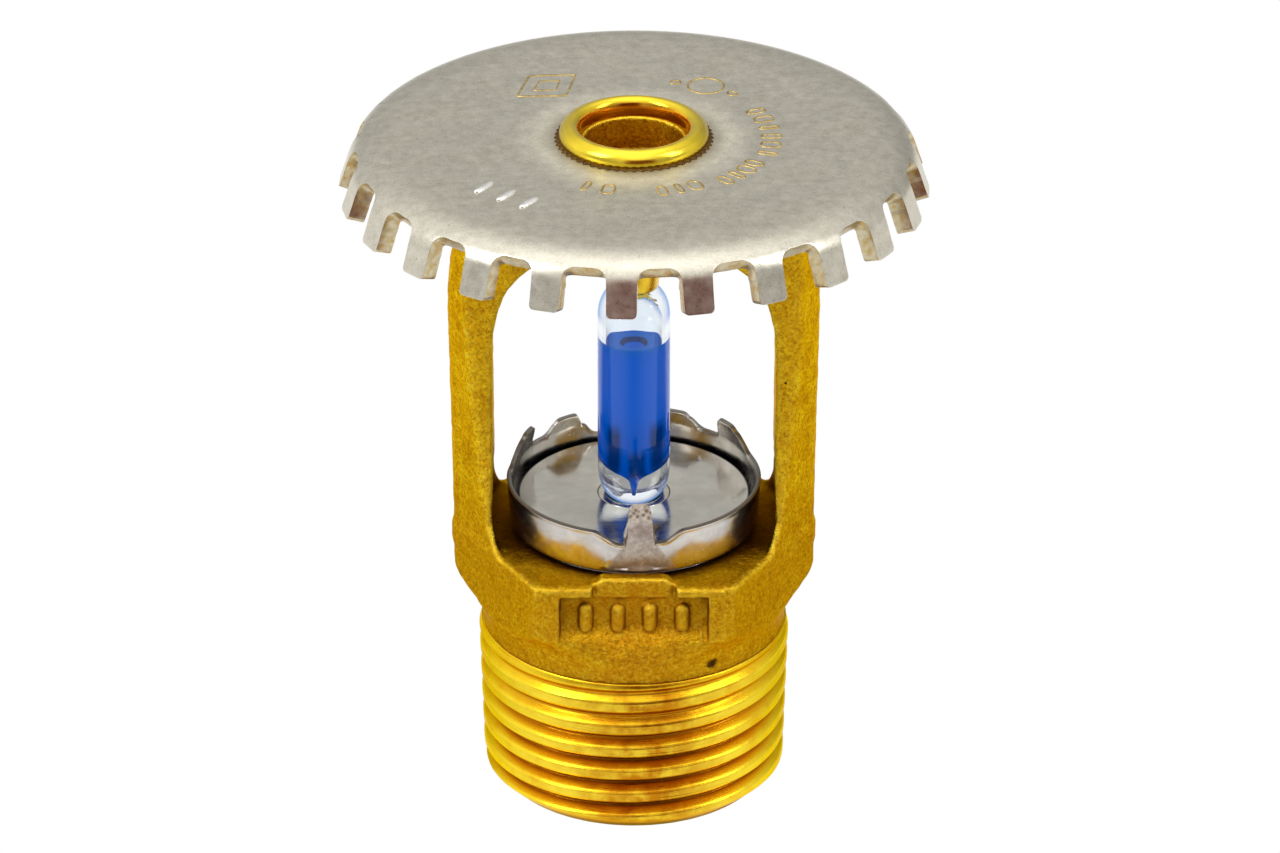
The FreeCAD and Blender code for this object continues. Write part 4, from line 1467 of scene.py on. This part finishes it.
give(cast_frame(), cast_brass(), "frame", "frame")
give(frame_thread(), thread_brass(), "frame", "frame")
give(rolled_rim(), rim_gold, "frame", "frame")
give(deflector(), plated_sheet(), "frame", "deflector")
marks_gold = mottled("worn_gold_marks", scale=2.0, dark=(0.40, 0.28, 0.09),
                     light=(0.66, 0.50, 0.20), rough=(0.3, 0.5),
                     grain=dict(scale=8, detail=2, rough=0.5))
give(plate_marks(), marks_gold, "frame", "deflector")
bar_metal = mottled("raised_bar_bright", scale=3.0, dark=(0.80, 0.79, 0.76),
                    light=(0.92, 0.91, 0.89), rough=(0.3, 0.42), relief=0.15,
                    grain=dict(scale=9, detail=2, rough=0.5))
give(raised_bars(), bar_metal, "frame", "deflector")
# the staking ring is painted near black: painted shadow under the rolled rim
staking_ring_shadow = turned_metal("staked_ring_painted_shadow", dark=(0.07, 0.035, 0.008),
                            light=(0.19, 0.10, 0.02), rough=0.45, relief=0.3)
give(staking_ring(), staking_ring_shadow, "frame", "frame")
ptfe = mottled("ptfe_film_white", scale=2.0, detail=4, dark=(0.74, 0.74, 0.71),
               light=(0.84, 0.84, 0.81), rough=(0.5, 0.65), metallic=0.0)
give(film_ring("ptfe_ring_lower", inner=6.66, outer=7.84, bottom=19.0, top=19.1), ptfe,
     "frame", "ptfe_film_lower")
give(crown(), stainless_sheet(), "bulb_and_seal", "crown_cup")
give(cap(), polished_cap(), "bulb_and_seal", "pip_cap")
give(bulb_seat(), seat_plating(), "bulb_and_seal", "bulb_seat_insert")
spring_metal = mottled("spring_nickel_alloy", scale=2.6, detail=4, dark=(0.42, 0.40, 0.37),
                       light=(0.56, 0.54, 0.50), rough=(0.22, 0.36),
                       grain=dict(scale=9, detail=3, rough=0.6))
give(disc_spring(), spring_metal, "bulb_and_seal", "belleville_spring")
give(film_ring("ptfe_ring_upper", inner=3.66, outer=5.2, bottom=19.6, top=CUP_FLOOR), ptfe,
     "bulb_and_seal", "ptfe_film_upper")
give(bulb_glass(), clear_glass(), "bulb_and_seal", "bulb_glass")
give(bulb_fluid(), blue_fluid(), "bulb_and_seal", "bulb_fluid")
give(load_screw(), screw_bronze, "load_screw", "compression_screw")

# =====================================================================
# Stage, light and camera
# =====================================================================
# A brown board in front, seen in reflections: x over distance forward, soft edge, light
BOARD_CENTRE = 0.20
BOARD_EDGE = (0.34, 0.50)
BOARD_HEIGHT_EDGE = (0.42, 0.54)
BOARD_COLOR = (1.0, 0.20, 0.17)
BOARD_LEVEL = 0.14
# Dark patches on the floor beside the object: x, y, radius, strength
FLOOR_PATCHES = ((-40.0, 12.0, 21.0, 0.56), (40.0, 12.0, 21.0, 0.52))
WORLD_BASE = 0.30
# Soft light patches of the world: direction, sharpness, level
WORLD_LOBES = [((0, 0.25, 1.0), 6.0, 1.20), ((0, -0.45, 1.0), 5.0, 0.95),
               ((0, -1.0, 0.35), 6.0, 0.45), ((-1.0, 0.2, 0.35), 5, 0.75),
               ((1.0, 0.1, 0.35), 6, 0.50), ((-0.25, 1.0, 0.3), 3.0, 0.16)]
scene = bpy.context.scene


def with_board(level, board):
    return level * (1.0 - board) + board * BOARD_LEVEL


def floor_material():
    """Reflects as a bright floor with a darker card in front of the object."""
    mat = Material("floor_pale")
    x, y, _ = mat.position()
    noise = mat.noise(scale=0.02, rough=0.5)

    def bell(u, v):
        return 2.718 ** ((u * u + v * v) * -1.0)

    card = bell(x / 34.0, (y + 62.0) / 24.0)
    level = abs(y).remap(over=(60, 400), to=(1.0, 0.75)) * 1.02 - card * 0.66
    for patch_x, patch_y, radius, strength in FLOOR_PATCHES:
        level = level - bell((x - patch_x) / radius, (y - patch_y) / radius) * strength
    level = level * noise.remap(over=(0.3, 0.7), to=(0.96, 1.04))
    # the foot of the board on the far front floor
    bearing = x / (y * -1.0).maximum(1.0)
    board = abs(bearing - BOARD_CENTRE).fall(over=BOARD_EDGE) * y.fall(over=(-95.0, -62.0))
    level = with_board(level, board)
    color = mat.mix(board, (1.0, 0.985, 0.96), BOARD_COLOR)
    return mat.output(mat.studio_light("ShaderNodeEmission", color, level))


def build_world():
    world = bpy.data.worlds.new("studio_world")
    scene.world = world
    graph = Graph(world)
    coordinates = graph.node("ShaderNodeTexCoord")
    x, y, z = graph.separate(Value(graph, coordinates.outputs["Generated"]))

    def soft_step(value, edge):
        """1 below the edge range, 0 above it."""
        full, none = edge
        ratio = graph.math("DIVIDE", value - full, none - full, clamp=True)
        return graph.math("SUBTRACT", 1.0, ratio, clamp=True)

    level = graph.math("ADD", WORLD_BASE, 0.0)
    for direction, sharpness, gain in WORLD_LOBES:
        length = math.sqrt(sum(c * c for c in direction))
        to_x, to_y, to_z = [c / length for c in direction]
        facing = (x * to_x + y * to_y + z * to_z).maximum(0.0)
        level = level + facing ** sharpness * gain
    level = level.maximum(0.03)
    bearing = x / (y * -1.0).maximum(0.05)
    board = soft_step(abs(bearing - BOARD_CENTRE), BOARD_EDGE)
    board = board * soft_step(abs(z - 0.0), BOARD_HEIGHT_EDGE) * (y < 0.0)
    level = with_board(level, board)
    color = graph.mix(board, (1, 0.985, 0.965), BOARD_COLOR)
    output = graph.node("ShaderNodeOutputWorld")
    light = graph.studio_light("ShaderNodeBackground", color, level)
    graph.tree.links.new(light, output.inputs[0])


AIM_Z = 0.025                   # metres, like the rest of the lights and camera


def area_light(name, location, width, height, power):
    light = bpy.data.lights.new(name, "AREA")
    light.energy = power
    light.color = (1, 1, 1)
    light.shape = "RECTANGLE"
    light.size = width
    light.size_y = height
    ob = bpy.data.objects.new(name, light)
    scene.collection.objects.link(ob)
    ob.location = location
    direction = Vector((0, 0, AIM_Z)) - Vector(location)
    ob.rotation_euler = direction.to_track_quat("-Z", "Y").to_euler()


def build_camera():
    elevation = math.radians(27.414)
    distance = 0.600
    camera = bpy.data.cameras.new("camera")
    ob = bpy.data.objects.new("camera", camera)
    scene.collection.objects.link(ob)
    scene.camera = ob
    ob.location = (0, -distance * math.cos(elevation), AIM_Z + distance * math.sin(elevation))
    ob.rotation_euler = (math.pi / 2 - elevation, 0, 0)
    camera.sensor_width = 36
    camera.lens = 243.97875
    camera.shift_x = 0.004796875
    camera.shift_y = 0.0170703125
    camera.clip_start = 0.01
    camera.clip_end = 20


floor_ob = new_obj("studio_floor", [(-900, -900, -0.01), (900, -900, -0.01),
                                    (900, 1400, -0.01), (-900, 1400, -0.01)],
                   [(0, 1, 2, 3)], smooth=False)
floor_ob.data.materials.append(floor_material())
build_world()
area_light("key_left", (-0.30, -0.16, 0.34), width=0.16, height=0.24, power=0.9)
area_light("key_right", (0.32, -0.12, 0.30), width=0.12, height=0.24, power=0.5)
build_camera()
scene.view_settings.view_transform = "Standard"
scene.view_settings.look = "None"
scene.view_settings.exposure = 0
scene.view_settings.gamma = 1
